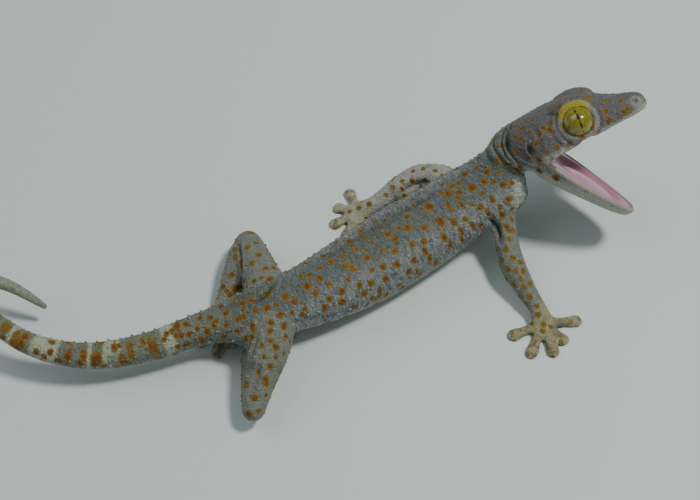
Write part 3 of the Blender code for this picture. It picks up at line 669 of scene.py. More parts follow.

# Spots that the picture shows, placed one by one: radius in millimetres, length across the body over width,
# share of rust in the colour, and middles as pixels
drawnSpots = [
    (0.92, 1.0, 0.95, [
        (605, 112), (624, 112), (609, 121), (597, 133), (549, 131), (537, 143), (534, 151), (501, 146),
        (498, 160), (507, 163), (539, 160), (569, 143)]),
    (0.72, 1.0, 0.8, [
        (604, 101), (621, 101), (557, 147), (551, 122), (547, 152), (540, 134), (529, 133), (520, 150),
        (515, 137), (528, 158), (590, 96), (566, 97), (560, 106), (521, 139), (628, 108), (513, 151),
        (543, 128), (572, 152), (523, 128), (532, 120), (583, 143)]),
    (1.05, 1.0, 0.9, [
        (465, 174), (487, 172), (452, 186), (484, 182), (503, 185), (509, 199), (440, 220), (454, 222),
        (424, 227), (395, 239), (412, 244), (388, 234), (424, 242), (397, 265), (414, 260), (383, 267),
        (409, 272), (371, 283), (360, 285), (342, 291), (364, 294), (342, 302), (355, 307), (386, 279),
        (448, 193), (459, 192), (480, 207), (395, 251), (367, 258), (349, 241), (378, 297), (402, 288),
        (329, 285), (329, 299), (315, 293), (320, 278), (307, 286), (285, 297), (294, 301), (267, 308)]),
    (1.35, 1.15, 0.95, [(472, 188), (429, 207), (408, 228), (440, 222)]),
    (1.15, 1.0, 0.15, [(346, 265), (353, 268)]),
    (0.78, 1.0, 0.7, [
        (476, 168), (499, 172), (493, 182), (442, 185), (482, 193), (459, 183), (442, 193), (512, 183),
        (512, 209), (500, 207), (488, 213), (407, 217), (465, 219), (481, 225), (361, 232), (335, 243),
        (383, 250), (366, 250), (342, 257), (413, 245), (372, 270), (389, 297), (325, 309), (309, 275),
        (300, 276), (320, 268), (324, 256), (302, 315), (305, 309), (292, 313), (276, 305), (255, 311),
        (244, 307), (266, 268), (254, 281), (247, 248), (348, 280), (331, 262), (399, 228), (356, 250)]),
    (0.8, 1.9, 0.9, [
        (473, 226), (444, 237), (450, 244), (462, 240), (461, 231), (492, 199), (430, 259), (436, 263),
        (448, 205), (462, 205), (502, 215), (488, 212), (507, 228), (380, 290), (420, 274), (425, 251)]),
    (0.95, 1.0, 0.85, [
        (259, 255), (270, 279), (232, 275), (221, 306), (238, 319), (227, 325), (280, 315), (271, 322),
        (270, 331), (284, 326), (271, 341), (276, 347), (286, 337), (295, 334), (270, 366), (266, 379),
        (255, 398), (246, 384), (249, 414), (235, 289)]),
    (0.72, 1.0, 0.75, [
        (256, 243), (274, 267), (264, 357), (284, 353), (290, 341), (266, 384), (266, 395), (280, 372),
        (242, 409), (259, 411), (225, 313), (223, 336), (244, 317), (253, 325), (241, 262), (276, 357),
        (258, 372), (262, 345), (249, 294), (261, 278), (244, 281), (227, 291)]),
    (0.85, 1.9, 0.9, [(207, 332), (143, 342), (202, 341), (177, 326), (114, 347)]),
    (0.85, 1.0, 0.85, [
        (200, 318), (197, 329), (189, 334), (181, 335), (186, 324), (178, 347), (187, 344), (164, 340),
        (126, 362), (117, 367), (96, 365), (81, 364), (60, 361), (50, 352), (36, 352), (52, 342),
        (43, 361), (212, 346), (190, 312), (216, 321)]),
    (0.72, 3.4, 0.75, [(155, 348), (150, 346)]),
    (0.95, 3.0, 0.45, [(130, 350)]),
    (1.05, 2.1, 0.95, [(98, 357), (68, 355), (94, 362)]),
    (1.05, 1.6, 0.85, [(25, 337), (21, 343), (16, 348)]),
    (1.1, 1.3, 0.35, [(18, 338), (13, 344)]),
    (1.3, 1.2, 0.5, [(6, 327)]),
    (1.0, 2.0, 0.3, [(83, 355), (16, 336), (122, 360)]),
    (0.75, 1.2, 0.7, [
        (57, 361), (80, 363), (104, 366), (3, 338), (172, 331), (166, 334), (119, 346), (44, 357),
        (176, 336), (181, 320), (214, 325), (210, 318)]),
    (1.0, 1.0, 0.4, [
        (251.5, 263), (242.5, 265), (235, 257), (235, 249), (250, 232.5), (259, 255), (247.5, 247.5)]),
    (0.85, 1.0, 0.85, [
        (246, 287), (237, 288), (230, 295), (235, 300), (243, 303), (252, 300), (226, 313), (243, 316),
        (237.5, 331), (224, 336.5), (246, 338), (252, 337), (266, 268), (274, 268), (222.5, 287)]),
    (0.8, 1.9, 0.95, [(252.5, 327)]),
    (0.8, 1.3, 0.85, [(386, 295), (399, 285), (417, 272), (372, 298), (366, 306), (324, 307)]),
    (0.6, 1.2, 0.8, [
        (397, 203), (390, 207), (385, 220), (381, 228), (416, 191), (421, 187), (413, 205), (404, 196),
        (376, 222), (365, 238), (352, 246), (344, 252), (372, 243)]),
    (0.62, 1.3, 0.35, [
        (471, 204), (413, 171), (423, 169), (412, 181), (402, 181), (393, 187), (386, 195), (425, 180),
        (435, 171), (442, 175), (402, 189), (252, 264), (452, 210), (458, 199)]),
    (0.72, 1.2, 0.5, [
        (512, 220), (508, 228), (513, 230), (509, 239), (506, 249), (513, 258), (502, 260), (508, 269),
        (516, 271), (523, 271), (514, 285), (524, 287), (530, 284), (530, 297), (538, 315), (544, 325),
        (531, 324), (551, 327), (543, 331), (503, 215), (520, 262), (521, 279), (537, 306)]),
]

# Pale skin of the throat, the armpit and the snout, and painted light on two toes in the tail's shadow:
# pixel, radius in millimetres and amount
paleAndLitPatches = [(523, 187, 4.5, 0.9), (520, 198, 4.0, 0.8), (530, 182, 3.5, 0.8), (488, 234, 2.2, 0.8),
               (640, 103, 3.2, 0.35), (516, 208, 2.5, 0.5), (218, 352, 4.0, 0.7), (232, 347, 3.0, 0.6)]

# Pale rings of the tail: pixel of the middle and half width in millimetres
paleRings = [(43, 351, 4.0), (112, 356, 2.6), (171, 345, 1.9), (89, 350, 0.8), (8, 340, 1.0)]


# Further spots at about even spacing, clear of the drawn ones: vertex and size of each
def spreadSpots(points, region, openSkin, drawn):
    spacing, radius = byNode(marks["spots"], region).T
    chosen = np.array(drawn)
    picked = []
    for i in random.permutation(len(points)):
        if not openSkin[i]:
            continue
        room = spacing[i] * random.uniform(*marks["room"])
        if np.min(np.sum((chosen - points[i]) ** 2, axis=1)) < room ** 2:
            continue
        chosen = np.vstack([chosen, points[i]])
        picked.append(i)
    return [(i, radius[i] * random.uniform(*marks["sizes"])) for i in picked]


# Where the skin may have spots that aren't drawn: outside the mouth, not below, and on the sides that the
# camera doesn't see. The lower jaw, the hands and the feet may have them all round.
def openForSpots(points, normals, region):
    kinds = nodeKinds[region]
    inMouth = mouthShare(points, normals, region) > 0.3
    onHead = np.isin(kinds, ("head", "lower"))
    below = np.where(onHead, normals @ headAxes()[2] < -0.3, normals[:, 2] < -0.35)
    seen = normals @ viewAxes()[2] > 0.2
    return ~inMouth & ~below & (~seen | np.isin(kinds, ("lower", "hand", "foot")))


# How far each place is from the nearest spot, in spot radii, and how rusty that spot is
def markSpots(skin, region):
    mesh = skin.data
    points, normals = places(mesh), normalsOf(mesh)
    surface = surfaceTree(mesh)
    spots = []
    for size, stretch, rust, pixels in drawnSpots:
        for x, y in pixels:
            place = onSkin(surface, x, y)
            if place is not None:
                radius = size * random.uniform(0.9, 1.1)
                spots.append((place, radius, stretch, rust * random.uniform(0.85, 1.05)))
    openSkin = openForSpots(points, normals, region)
    for i, size in spreadSpots(points, region, openSkin, [spot[0] for spot in spots]):
        kind = nodeKinds[region[i]]
        stretch = random.uniform(1.3, 2.2) if kind == "tail" else random.uniform(0.95, 1.3)
        middle = 0.35 if kind in ("arm", "forearm", "hand", "foot") else 0.8
        spots.append((points[i], size, stretch, np.clip(random.normal(middle, 0.2), 0, 1)))
    field = np.full(len(points), marks["reach"])
    tone = np.full(len(points), 0.5)
    tree, spineTree = pointTree(points), pointTree(spine)
    for place, size, stretch, rust in spots:
        lengthwise = spineTangent[spineTree.find(Vector(place))[1]]
        near = np.array([n for _, n, _ in tree.find_range(Vector(place), size * stretch * marks["reach"])])
        apart = points[near] - place
        lengthways = apart @ lengthwise
        around = np.sqrt(np.maximum(np.sum(apart ** 2, axis=1) - lengthways ** 2, 0))
        ratio = np.sqrt((lengthways / size) ** 2 + (around / size / stretch) ** 2)
        closer = ratio < field[near]
        field[near[closer]] = ratio[closer]
        tone[near[closer]] = rust
    addValues(mesh, "spot", field)
    addValues(mesh, "rust", tone)


def markSkin(skin, region):
    mesh = skin.data
    points, normals = places(mesh), normalsOf(mesh)
    pairs = edgePairs(mesh)
    names, kinds = nodeNames[region], nodeKinds[region]
    along, around = trunkPlace(points)
    addValues(mesh, "along", along)
    addValues(mesh, "around", around)
    markSpots(skin, region)
    onHead, onTail = np.isin(kinds, ("head", "lower")), kinds == "tail"
    onFoot, onLimb = np.isin(kinds, ("hand", "foot")), np.isin(kinds, ("arm", "forearm", "thigh", "shin"))
    pale = np.where(onHead, fade(-(normals @ headAxes()[2]), 0.1, 0.6), fade(-normals[:, 2], 0.0, 0.55))
    leftArm = np.isin(names, ["arm_upper_left", "forearm_left"]) * 0.55 + (names == "hand_left") * 0.3
    pale = np.maximum(pale, leftArm)
    surface = surfaceTree(mesh)
    # Pale skin, and painted light on the two toes under the tail
    for x, y, radius, amount in paleAndLitPatches:
        place = onSkin(surface, x, y)
        if place is not None:
            away = np.linalg.norm(points - place, axis=1)
            pale = np.maximum(pale, amount * fade(away, radius, 0.5 * radius))
    rings = np.zeros(len(points))
    for x, y, half in paleRings:
        place = onSkin(surface, x, y)
        if place is not None:
            middle = nearestOnPath(place[None, :], spine)[1][0]
            rings = np.maximum(rings, fade(abs(along - middle), half + 0.6, half - 0.6))
    fromPalm = np.full(len(points), np.inf)
    for palm, _ in feet.values():
        fromPalm = np.minimum(fromPalm, np.linalg.norm((points - moved)[:, :2] - palm, axis=1))
    addValues(mesh, "pale", smoothed(pale, pairs, 8, 0.5))
    addValues(mesh, "toe", fade(fromPalm, 4.0, 6.0) * onFoot)
    addValues(mesh, "ring", rings * onTail)
    blurs = (("head", onHead, 40), ("foot", onFoot, 30), ("limb", onLimb, 30), ("tail", onTail, 60))
    for name, part, times in blurs:
        addValues(mesh, name, smoothed(part.astype(float), pairs, times, 0.6))
    addValues(mesh, "tailEnd", fade(along, tailStart + 84.0, tailStart + 96.0) * onTail)
    addValues(mesh, "mouth", smoothed(mouthShare(points, normals, region), pairs, 3, 0.5))


# Materials

# Adds nodes to a node tree. An input is a value, or an output to link from.
class Graph:
    def __init__(self, tree):
        self.tree = tree

    def join(self, node, inputs):
        for socket, value in inputs.items():
            if isinstance(value, bpy.types.NodeSocket):
                self.tree.links.new(value, node.inputs[socket])
            else:
                node.inputs[socket].default_value = value

    def add(self, kind, inputs=None, **settings):
        node = self.tree.nodes.new(kind)
        for name, value in settings.items():
            setattr(node, name, value)
        self.join(node, inputs or {})
        return node

    def shade(self, inputs):
        self.join(self.tree.nodes["Principled BSDF"], inputs)

    def attribute(self, name):
        return self.add("ShaderNodeAttribute", attribute_name=name).outputs["Fac"]

    def place(self):
        return self.add("ShaderNodeTexCoord").outputs["Object"]

    def vector(self, x, y):
        return self.add("ShaderNodeCombineXYZ", {0: x, 1: y}).outputs[0]

    def noise(self, vector, scale, detail, **more):
        inputs = {"Vector": vector, "Scale": scale, "Detail": detail}
        inputs.update({name.capitalize(): value for name, value in more.items()})
        return self.add("ShaderNodeTexNoise", inputs).outputs["Fac"]

    # Cells of random colour, and the distance to the edge of the cell
    def cells(self, vector, scale, randomness):
        inputs = {"Vector": vector, "Scale": scale, "Randomness": randomness}
        edge = self.add("ShaderNodeTexVoronoi", inputs, feature="DISTANCE_TO_EDGE")
        return self.add("ShaderNodeTexVoronoi", inputs).outputs["Color"], edge.outputs["Distance"]

    def math(self, operation, first, second=0.0, clamp=False):
        inputs = {0: first, 1: second}
        return self.add("ShaderNodeMath", inputs, operation=operation, use_clamp=clamp).outputs[0]

    def plus(self, first, second):
        return self.math("ADD", first, second)

    def times(self, first, second):
        return self.math("MULTIPLY", first, second)

    def blend(self, amount, first, second, mode="MIX"):
        inputs = {0: amount, 6: first, 7: second}
        return self.add("ShaderNodeMix", inputs, data_type="RGBA", blend_type=mode).outputs[2]

    def ramp(self, value, start, stop, low=0.0, high=1.0):
        inputs = {0: value, 1: start, 2: stop, 3: low, 4: high}
        return self.add("ShaderNodeMapRange", inputs, interpolation_type="SMOOTHSTEP").outputs[0]


def newMaterial(name):
    material = bpy.data.materials.new(name)
    material.use_nodes = True
    return material, Graph(material.node_tree)


tones = {name: (*colour, 1) for name, colour in {
    # The back's dark and light tones also paint the shade and highlight of the trunk's wrinkles
    "back": (0.122, 0.145, 0.115), "backBlue": (0.118, 0.150, 0.160), "backDarkAndWrinkleShade": (0.045, 0.053, 0.048),
    # The flank tone is paler than the back, partly by nature and partly as painted light reflected from
    # below
    "backPaleAndWrinkleHighlight": (0.31, 0.37, 0.38), "flankPaleAndLit": (0.258, 0.287, 0.280), "head": (0.140, 0.137, 0.132),
    "limb": (0.22, 0.24, 0.195), "foot": (0.38, 0.36, 0.20), "toeEdge": (0.20, 0.125, 0.010),
    "tail": (0.20, 0.225, 0.17), "ring": (0.54, 0.62, 0.43), "tailEnd": (0.33, 0.37, 0.26),
    "pale": (0.60, 0.61, 0.52), "rust": (0.235, 0.079, 0.0), "rustDark": (0.14, 0.036, 0.0),
    "mustard": (0.24, 0.15, 0.0), "olive": (0.20, 0.165, 0.006), "mouth": (0.45, 0.20, 0.27),
    "lid": (0.42, 0.36, 0.015), "rim": (0.40, 0.42, 0.46), "lip": (0.50, 0.49, 0.38),
    # Painted shade: the near-black tones for creases and holes on the next line
    "creaseShade": (0.016, 0.016, 0.013), "holeShade": (0.02, 0.017, 0.017), "tip": (0.50, 0.52, 0.44),
    "claw": (0.42, 0.36, 0.24), "iris": (0.15, 0.13, 0.004), "irisLight": (0.27, 0.25, 0.008),
    "irisEdge": (0.13, 0.12, 0.02), "eyeEdge": (0.012, 0.012, 0.012), "pupil": (0.003, 0.003, 0.003),
    "tongue": (0.42, 0.20, 0.30), "tongueLight": (0.58, 0.34, 0.44), "floor": (0.65, 0.74, 0.72)}.items()}


# The colours of the skin and the height of its fine scales, from its attributes and its own place
def markingGroup():
    tree = bpy.data.node_groups.new("geckoMarkings", "ShaderNodeTree")
    tree.interface.new_socket("Colour", in_out="OUTPUT", socket_type="NodeSocketColor")
    tree.interface.new_socket("Height", in_out="OUTPUT", socket_type="NodeSocketFloat")
    tree.interface.new_socket("Mouth", in_out="OUTPUT", socket_type="NodeSocketFloat")
    graph = Graph(tree)
    blend, ramp, times, plus = graph.blend, graph.ramp, graph.times, graph.plus
    value = {name: graph.attribute(name) for name in (
        "along", "around", "head", "limb", "foot", "tail", "tailEnd", "ring", "pale", "toe", "spot", "rust",
        "lidYellow", "rim", "lip", "creaseShade", "mouth", "holeShade")}
    place = graph.place()

    # Scales in rows along the trunk and tail, and loose ones on the head, the limbs and the feet
    offTrunk = graph.math("ADD", value["head"], plus(value["limb"], value["foot"]), clamp=True)
    offTrunk = ramp(offTrunk, 0.35, 0.65)
    rows = graph.vector(times(value["along"], 1.55), value["around"])
    rowColour, rowEdge = graph.cells(rows, 1.1, 0.7)
    looseColour, looseEdge = graph.cells(place, 1500.0, 0.85)
    scaleColour = blend(offTrunk, rowColour, looseColour)
    edge = graph.add("ShaderNodeMix", {0: offTrunk, 2: rowEdge, 3: looseEdge}).outputs[0]
    scaleParts = graph.add("ShaderNodeSeparateColor", {0: scaleColour}).outputs
    shade, tint = scaleParts[0], scaleParts[1]
    wrinkleShading = graph.noise(graph.vector(times(value["along"], 2.3), times(value["around"], 0.3)),
                           1.0, 2.0, distortion=0.4)
    mottle = graph.noise(place, 1100.0, 2.0)
    wide = graph.noise(place, 90.0, 3.0)
    fine = graph.noise(place, 520.0, 3.0)

    # Ground colour of each part
    sideways = graph.math("ABSOLUTE", value["around"])
    colour = blend(ramp(wide, 0.45, 0.62), tones["back"], tones["backBlue"])
    # The flank is paler: partly its own lighter colour, partly painted light reflected up from the floor
    colour = blend(ramp(sideways, 4.0, 10.5), colour, tones["flankPaleAndLit"])
    ringShare = times(value["ring"], 0.75)
    for amount, tone in ((value["head"], "head"), (value["limb"], "limb"), (value["tail"], "tail"),
                         (ringShare, "ring"), (value["foot"], "foot"), (value["tailEnd"], "tailEnd"),
                         (value["pale"], "pale"), (ramp(wide, 0.42, 0.30, 0.0, 0.45), "backDarkAndWrinkleShade")):
        colour = blend(amount, colour, tones[tone])

    # Wrinkles across the trunk, strongest low on the flank, painted as shade in their folds and as
    # highlight on their ridges; and single scales that are lighter or darker, which is their own colour
    wrinkleShadingAmount = times(graph.math("SUBTRACT", 1.0, offTrunk), ramp(sideways, 2.0, 11.0, 0.35, 0.9))
    dark = times(ramp(wrinkleShading, 0.50, 0.36), times(wrinkleShadingAmount, 0.75))
    light = times(ramp(wrinkleShading, 0.53, 0.68), times(wrinkleShadingAmount, 0.5))
    colour = blend(dark, colour, tones["backDarkAndWrinkleShade"])
    colour = blend(light, colour, tones["backPaleAndWrinkleHighlight"])
    calm = ramp(value["tail"], 0.0, 1.0, 1.0, 0.45)
    light = times(ramp(shade, 0.6, 1.0), ramp(offTrunk, 0.0, 1.0, 0.2, 0.16))
    dark = times(ramp(shade, 0.4, 0.05), ramp(offTrunk, 0.0, 1.0, 0.3, 0.25))
    colour = blend(times(light, calm), colour, tones["backPaleAndWrinkleHighlight"])
    colour = blend(times(dark, calm), colour, tones["backDarkAndWrinkleShade"])
    colour = blend(ramp(mottle, 0.46, 0.34, 0.0, 0.2), colour, tones["backDarkAndWrinkleShade"])

    # Spots: a ragged disc with an olive rim, a rusty or mustard middle and a dark heart
    wobble = plus(times(graph.math("SUBTRACT", shade, 0.5), 0.28),
                  times(graph.math("SUBTRACT", fine, 0.5), 0.8))
    without = graph.math("MAXIMUM", graph.math("MAXIMUM", value["tailEnd"], value["mouth"]), value["toe"])
    field = plus(plus(value["spot"], wobble), times(without, 3.0))
    heart = times(ramp(field, 0.8, 0.15), ramp(value["rust"], 0.4, 0.85, 0.15, 0.75))
    spot = blend(value["rust"], tones["mustard"], tones["rust"])
    spot = blend(ramp(tint, 0.62, 0.9, 0.0, 0.4), spot, tones["mustard"])
    spot = blend(heart, spot, tones["rustDark"])
    spot = blend(ramp(tint, 0.35, 0.1, 0.0, 0.4), spot, tones["rustDark"])
    colour = blend(ramp(field, 1.55, 0.95, 0.0, 0.85), colour, tones["olive"])
    colour = blend(ramp(field, 1.12, 0.70), colour, spot)

    # Toes, lids, lips and mouth, and painted shade in the creases and inside the nostril and ear holes,
    # over everything else
    for amount, tone in ((times(value["toe"], ramp(fine, 0.48, 0.58, 0.0, 0.75)), "toeEdge"),
                         (value["lidYellow"], "lid"), (times(value["rim"], 0.7), "rim"),
                         (times(value["lip"], 0.85), "lip"), (times(value["creaseShade"], 0.7), "creaseShade"),
                         (value["mouth"], "mouth"), (value["holeShade"], "holeShade")):
        colour = blend(amount, colour, tones[tone])

    # Dark grooves between the scales, but none in the mouth
    groove = graph.math("MAXIMUM", ramp(edge, 0.0, 0.14, 0.7, 1.0), value["mouth"])
    groove = graph.add("ShaderNodeCombineColor", {0: groove, 1: groove, 2: groove}).outputs[0]
    height = times(ramp(edge, 0.0, 0.32), graph.math("SUBTRACT", 1.0, value["mouth"], clamp=True))
    graph.add("NodeGroupOutput", {"Colour": blend(1.0, colour, groove, "MULTIPLY"), "Height": height,
                                  "Mouth": value["mouth"]})
    return tree


def skinMaterial(name, markings, scaleHeight):
    material, graph = newMaterial(name)
    group = graph.add("ShaderNodeGroup", node_tree=markings).outputs
    raised = graph.add("ShaderNodeBump", {"Height": group["Height"], "Distance": scaleHeight * millimetre,
                                          "Strength": 1.0})
    graph.shade({"Base Color": group["Colour"], "Normal": raised.outputs["Normal"],
                 "Roughness": graph.ramp(group["Mouth"], 0.0, 1.0, 0.52, 0.22), "Specular IOR Level": 0.45})
    return material


# Tubercles: low domes in rows on the back, smaller ones on the head and limbs, pointed ones in rings on the
# tail. Scattered ones have a spacing, a radius and a height. Girth is a size at a distance along the tail.

coat = {
    "back": {"start": 9.0, "every": 3.0, "angles": (8, 22, 36, 50, 64, 78, 92), "radius": 0.58,
             "height": 0.36, "lean": 0.15, "reach": 16.0, "least": 0.7},
    "tail": {"start": 1.5, "every": 1.8, "angles": (-84, -56, -28, 0, 28, 56, 84), "radius": 0.5,
             "height": 0.6, "lean": 0.6, "reach": 9.0, "least": 0.8,
             "girth": [(0, 1.05), (15, 1.0), (50, 0.8), (80, 0.5), (105, 0.3)]},
    "scatter": {"head": (1.7, 0.34, 0.2), "neck": (2.3, 0.42, 0.3), "arm": (2.4, 0.4, 0.26),
                "forearm": (2.3, 0.38, 0.26), "thigh": (2.5, 0.46, 0.32), "shin": (2.4, 0.42, 0.3)},
    "scatterLean": 0.05, "sunk": 0.3, "sides": 6, "patch": 0.0015}


# Even but irregular places among the allowed vertices
def spreadRoots(points, allowed, spacing):
    cells = {}
    picked = []
    for i in random.permutation(np.flatnonzero(allowed)):
        cell = tuple((points[i] // spacing).astype(int))
        near = [q for a in (-1, 0, 1) for b in (-1, 0, 1) for c in (-1, 0, 1)
                for q in cells.get((cell[0] + a, cell[1] + b, cell[2] + c), ())]
        if any(np.sum((points[i] - q) ** 2) < spacing ** 2 for q in near):
            continue
        cells.setdefault(cell, []).append(points[i])
        picked.append(i)
    return picked


# Adds the root of a tubercle straight out from the spine: place, normal, direction along the body, radius,
# height and lean
def addRoot(roots, tree, form, length, angle, girth=1.0):
    middle, backward, left, up = spineFrame(length)
    turn = np.radians(angle)
    hit = tree.ray_cast(Vector(middle), Vector(up * np.cos(turn) + left * np.sin(turn)), form["reach"])
    if hit[0] is not None:
        size = girth * random.uniform(form["least"], 1.15)
        roots.append((np.array(hit[0]), np.array(hit[1]), backward,
                      form["radius"] * size, form["height"] * size, form["lean"]))


def trunkRoots(tree):
    form = coat["back"]
    roots = []
    for length in np.arange(form["start"], tailStart - 2.0, form["every"]):
        for step, angle in enumerate(form["angles"]):
            for side in (1, -1):
                place = length + (step % 2) * form["every"] / 2 + random.uniform(-0.5, 0.5)
                addRoot(roots, tree, form, place, side * angle + random.uniform(-3, 3))
    return roots


# Rings of pointed tubercles, with a smaller ring between each pair
def tailRoots(tree):
    form = coat["tail"]
    roots = []
    lengths = np.arange(tailStart + form["start"], spineLength[-1] - 6.0, form["every"])
    for row, length in enumerate(lengths):
        small, shift = (0.55, 14) if row % 2 else (1.0, 0)
        girth = np.interp(length - tailStart, *np.transpose(form["girth"])) * small
        for angle in form["angles"]:
            addRoot(roots, tree, form, length, angle + random.uniform(-5, 5) + shift, girth)
    return roots


def scatteredRoots(mesh, region):
    points, normals = places(mesh), normalsOf(mesh)
    kinds = nodeKinds[region]
    busy = sum(readValues(mesh, name) for name in ("lip", "holeShade", "lidYellow", "rim"))
    roots = []
    for kind, (spacing, radius, height) in coat["scatter"].items():
        upward = normals @ headAxes()[2] if kind == "head" else normals[:, 2]
        allowed = (kinds == kind) & (upward > -0.1) & (readValues(mesh, "mouth") < 0.1) & (busy < 0.3)
        for i in spreadRoots(points, allowed, spacing):
            size = random.uniform(0.7, 1.2)
            roots.append((points[i], normals[i], unit(np.cross(normals[i], (0.3, 0.5, 0.8))), radius * size,
                          height * size, coat["scatterLean"]))
    return roots


# A place for each point on a flat layout of the skin: one tile for each node and main direction
def unwrapPlaces(points, normals, region):
    sheet = {"across": 11, "margin": 0.003, "tile": 0.084}
    axis = np.argmax(abs(normals), axis=1)
    sign = (normals[np.arange(len(normals)), axis] > 0).astype(int)
    tile = region * 6 + axis * 2 + sign
    kept = np.array(((1, 2), (0, 2), (0, 1)))[axis]
    groups = [points[region == index] for index in range(len(nodeNames))]
    low, high = (np.array([edge(group, axis=0) for group in groups]) for edge in (np.min, np.max))
    span = (high - low).max(axis=1)[region]
    inside = np.take_along_axis(points - low[region], kept, axis=1) / span[:, None]
    corner = np.column_stack([tile % sheet["across"], tile // sheet["across"]]) / sheet["across"]
    return corner + sheet["margin"] + inside * sheet["tile"]


# One joined mesh of closed, tapered tubercles that carry the skin's markings
def makeTubercles(name, roots, skin, region, skinTree):
    mesh = skin.data
    sides = coat["sides"]
    turns = 2 * np.pi * np.arange(sides) / sides
    vertices, faces, offsets = [], [], []
    for place, out, along, radius, height, lean in roots:
        along = unit(along - (along @ out) * out)
        side = np.cross(out, along)
        start = len(vertices)
        for reach, rise in ((1.0, -coat["sunk"]), (0.92, 0.12 * height), (0.55, 0.72 * height)):
            shift = along * lean * max(rise, 0)
            for turn in turns:
                away = along * np.cos(turn) + side * np.sin(turn)
                vertices.append(place + out * rise + shift + away * radius * reach)
                offsets.append((reach * np.cos(turn), reach * np.sin(turn), max(rise, 0) / height))
        vertices.append(place + out * height + along * lean * height)
        vertices.append(place - out * coat["sunk"])
        offsets += [(0.0, 0.0, 1.0), (0.0, 0.0, 0.0)]
        for j in range(sides):
            k = (j + 1) % sides
            for ring in (start, start + sides):
                faces.append((ring + j, ring + k, ring + sides + k, ring + sides + j))
            faces.append((start + 2 * sides + j, start + 2 * sides + k, start + 3 * sides))
            faces.append((start + k, start + j, start + 3 * sides + 1))
    obj = makeObject(name, vertices, faces)
    each = 3 * sides + 2
    nearest = np.array([skinTree.find(Vector(root[0]))[1] for root in roots])
    for layer in list(mesh.attributes):
        if layer.data_type == "FLOAT" and layer.domain == "POINT":
            addValues(obj.data, layer.name, np.repeat(readValues(mesh, layer.name)[nearest], each))
    offsets = np.array(offsets)
    addValues(obj.data, "tip", offsets[:, 2])
    middles = unwrapPlaces(places(mesh), normalsOf(mesh), region)[nearest]
    flat = np.repeat(middles, each, axis=0) + offsets[:, :2] * coat["patch"]
    layer = obj.data.uv_layers.new(name="OFBake")
    corners = readAll(obj.data.loops, "vertex_index", 1, int).ravel()
    layer.data.foreach_set("uv", flat[corners].ravel())
    shadeSmooth(obj)
    return obj


# The skin's colours, a little lighter at the tips that no spot covers
def tubercleMaterial(name, markings, lift):
    material, graph = newMaterial(name)
    group = graph.add("ShaderNodeGroup", node_tree=markings).outputs
    clear = graph.ramp(graph.attribute("spot"), 0.9, 1.4)
    amount = graph.times(graph.attribute("tip"), graph.times(clear, lift))
    graph.shade({"Base Color": graph.blend(amount, group["Colour"], tones["tip"]), "Roughness": 0.48})
    return material


# Claws. A step is the reach forward, the width against the step before and the rise, in millimetres.

claw = {"radius": 0.26, "sides": 7, "steps": [(0.44, 0.85, 0.06), (0.44, 0.65, -0.12)],
        "tip": (0.37, -0.28), "back": 0.9, "level": 1.15}


# One curved claw at the origin, along +X
def makeClaw():
    bpy.ops.mesh.primitive_circle_add(vertices=claw["sides"], radius=claw["radius"] * millimetre,
                                      fill_type="NGON", location=(0, 0, 0), rotation=(0, np.pi / 2, 0))
    bpy.ops.object.transform_apply(location=False, rotation=True, scale=False)
    bpy.ops.object.mode_set(mode="EDIT")
    bpy.ops.mesh.select_all(action="SELECT")
    middle = np.zeros(3)
    for forward, width, rise in claw["steps"]:
        step = np.array((forward, 0.0, rise)) * millimetre
        middle = middle + step
        bpy.ops.mesh.extrude_region_move(TRANSFORM_OT_translate={"value": step})
        bpy.ops.transform.resize(value=(1, width, width), center_override=middle)
    forward, rise = claw["tip"]
    step = np.array((forward, 0.0, rise)) * millimetre
    bpy.ops.mesh.extrude_region_move(TRANSFORM_OT_translate={"value": step})
    bpy.ops.mesh.merge(type="CENTER")
    bpy.ops.mesh.select_all(action="SELECT")
    bpy.ops.mesh.normals_make_consistent(inside=False)
    bpy.ops.object.mode_set(mode="OBJECT")
    return bpy.context.object


# A claw on top of each toe's pad. The first toe of each foot has none.
def makeClaws():
    pattern = makeClaw()
    copies = []
    for palm, tips in feet.values():
        for tip in tips[1:]:
            along = unit(np.array((*tip, 0.0)) - (*palm, 0.0))
            axes = np.array((along, np.cross((0, 0, 1), along), (0, 0, 1)))
            root = moved + (*tip, claw["level"]) - along * claw["back"]
            copy = linkObject("claws", pattern.data.copy())
            setPlaces(copy.data, root + places(pattern.data) @ axes)
            copies.append(copy)
    bpy.data.objects.remove(pattern)
    choose(copies[0])
    for copy in copies:
        copy.select_set(True)
    bpy.ops.object.join()
    shadeSmooth(copies[0])
    return copies[0]


def clawMaterial():
    material, graph = newMaterial("claw")
    graph.shade({"Base Color": tones["claw"], "Roughness": 0.35})
    return material


# Slit pupil with lobed edges in a veined iris. The distances are in quarter turns from the eye's axis.
def eyeMaterial():
    material, graph = newMaterial("tokayEye")
    up = graph.attribute("eyeUp")
    across = graph.plus(graph.attribute("eyeAcross"), graph.times(up, 0.1))
    reach = graph.math("SQRT", graph.plus(graph.times(across, across), graph.times(up, up)))
    height = graph.math("ABSOLUTE", up)
    veins = graph.noise(graph.place(), 900.0, 5.0, roughness=0.7)
    lobes = graph.times(graph.math("SINE", graph.times(up, 21.0)), 0.014)
    half = graph.plus(lobes, graph.ramp(height, 0.72, 0.15, 0.0, 0.022))
    slit = graph.ramp(graph.math("SUBTRACT", graph.math("ABSOLUTE", across), half), 0.016, -0.004)
    slit = graph.times(slit, graph.ramp(height, 0.78, 0.70))
    colour = graph.blend(graph.ramp(veins, 0.30, 0.62), tones["iris"], tones["irisLight"])
    colour = graph.blend(graph.ramp(reach, 0.62, 0.9), colour, tones["irisEdge"])
    colour = graph.blend(graph.ramp(reach, 0.88, 0.97), colour, tones["eyeEdge"])
    graph.shade({"Base Color": graph.blend(slit, colour, tones["pupil"]), "Roughness": 0.16,
                 "Coat Weight": 1.0, "Coat Roughness": 0.03})
    return material


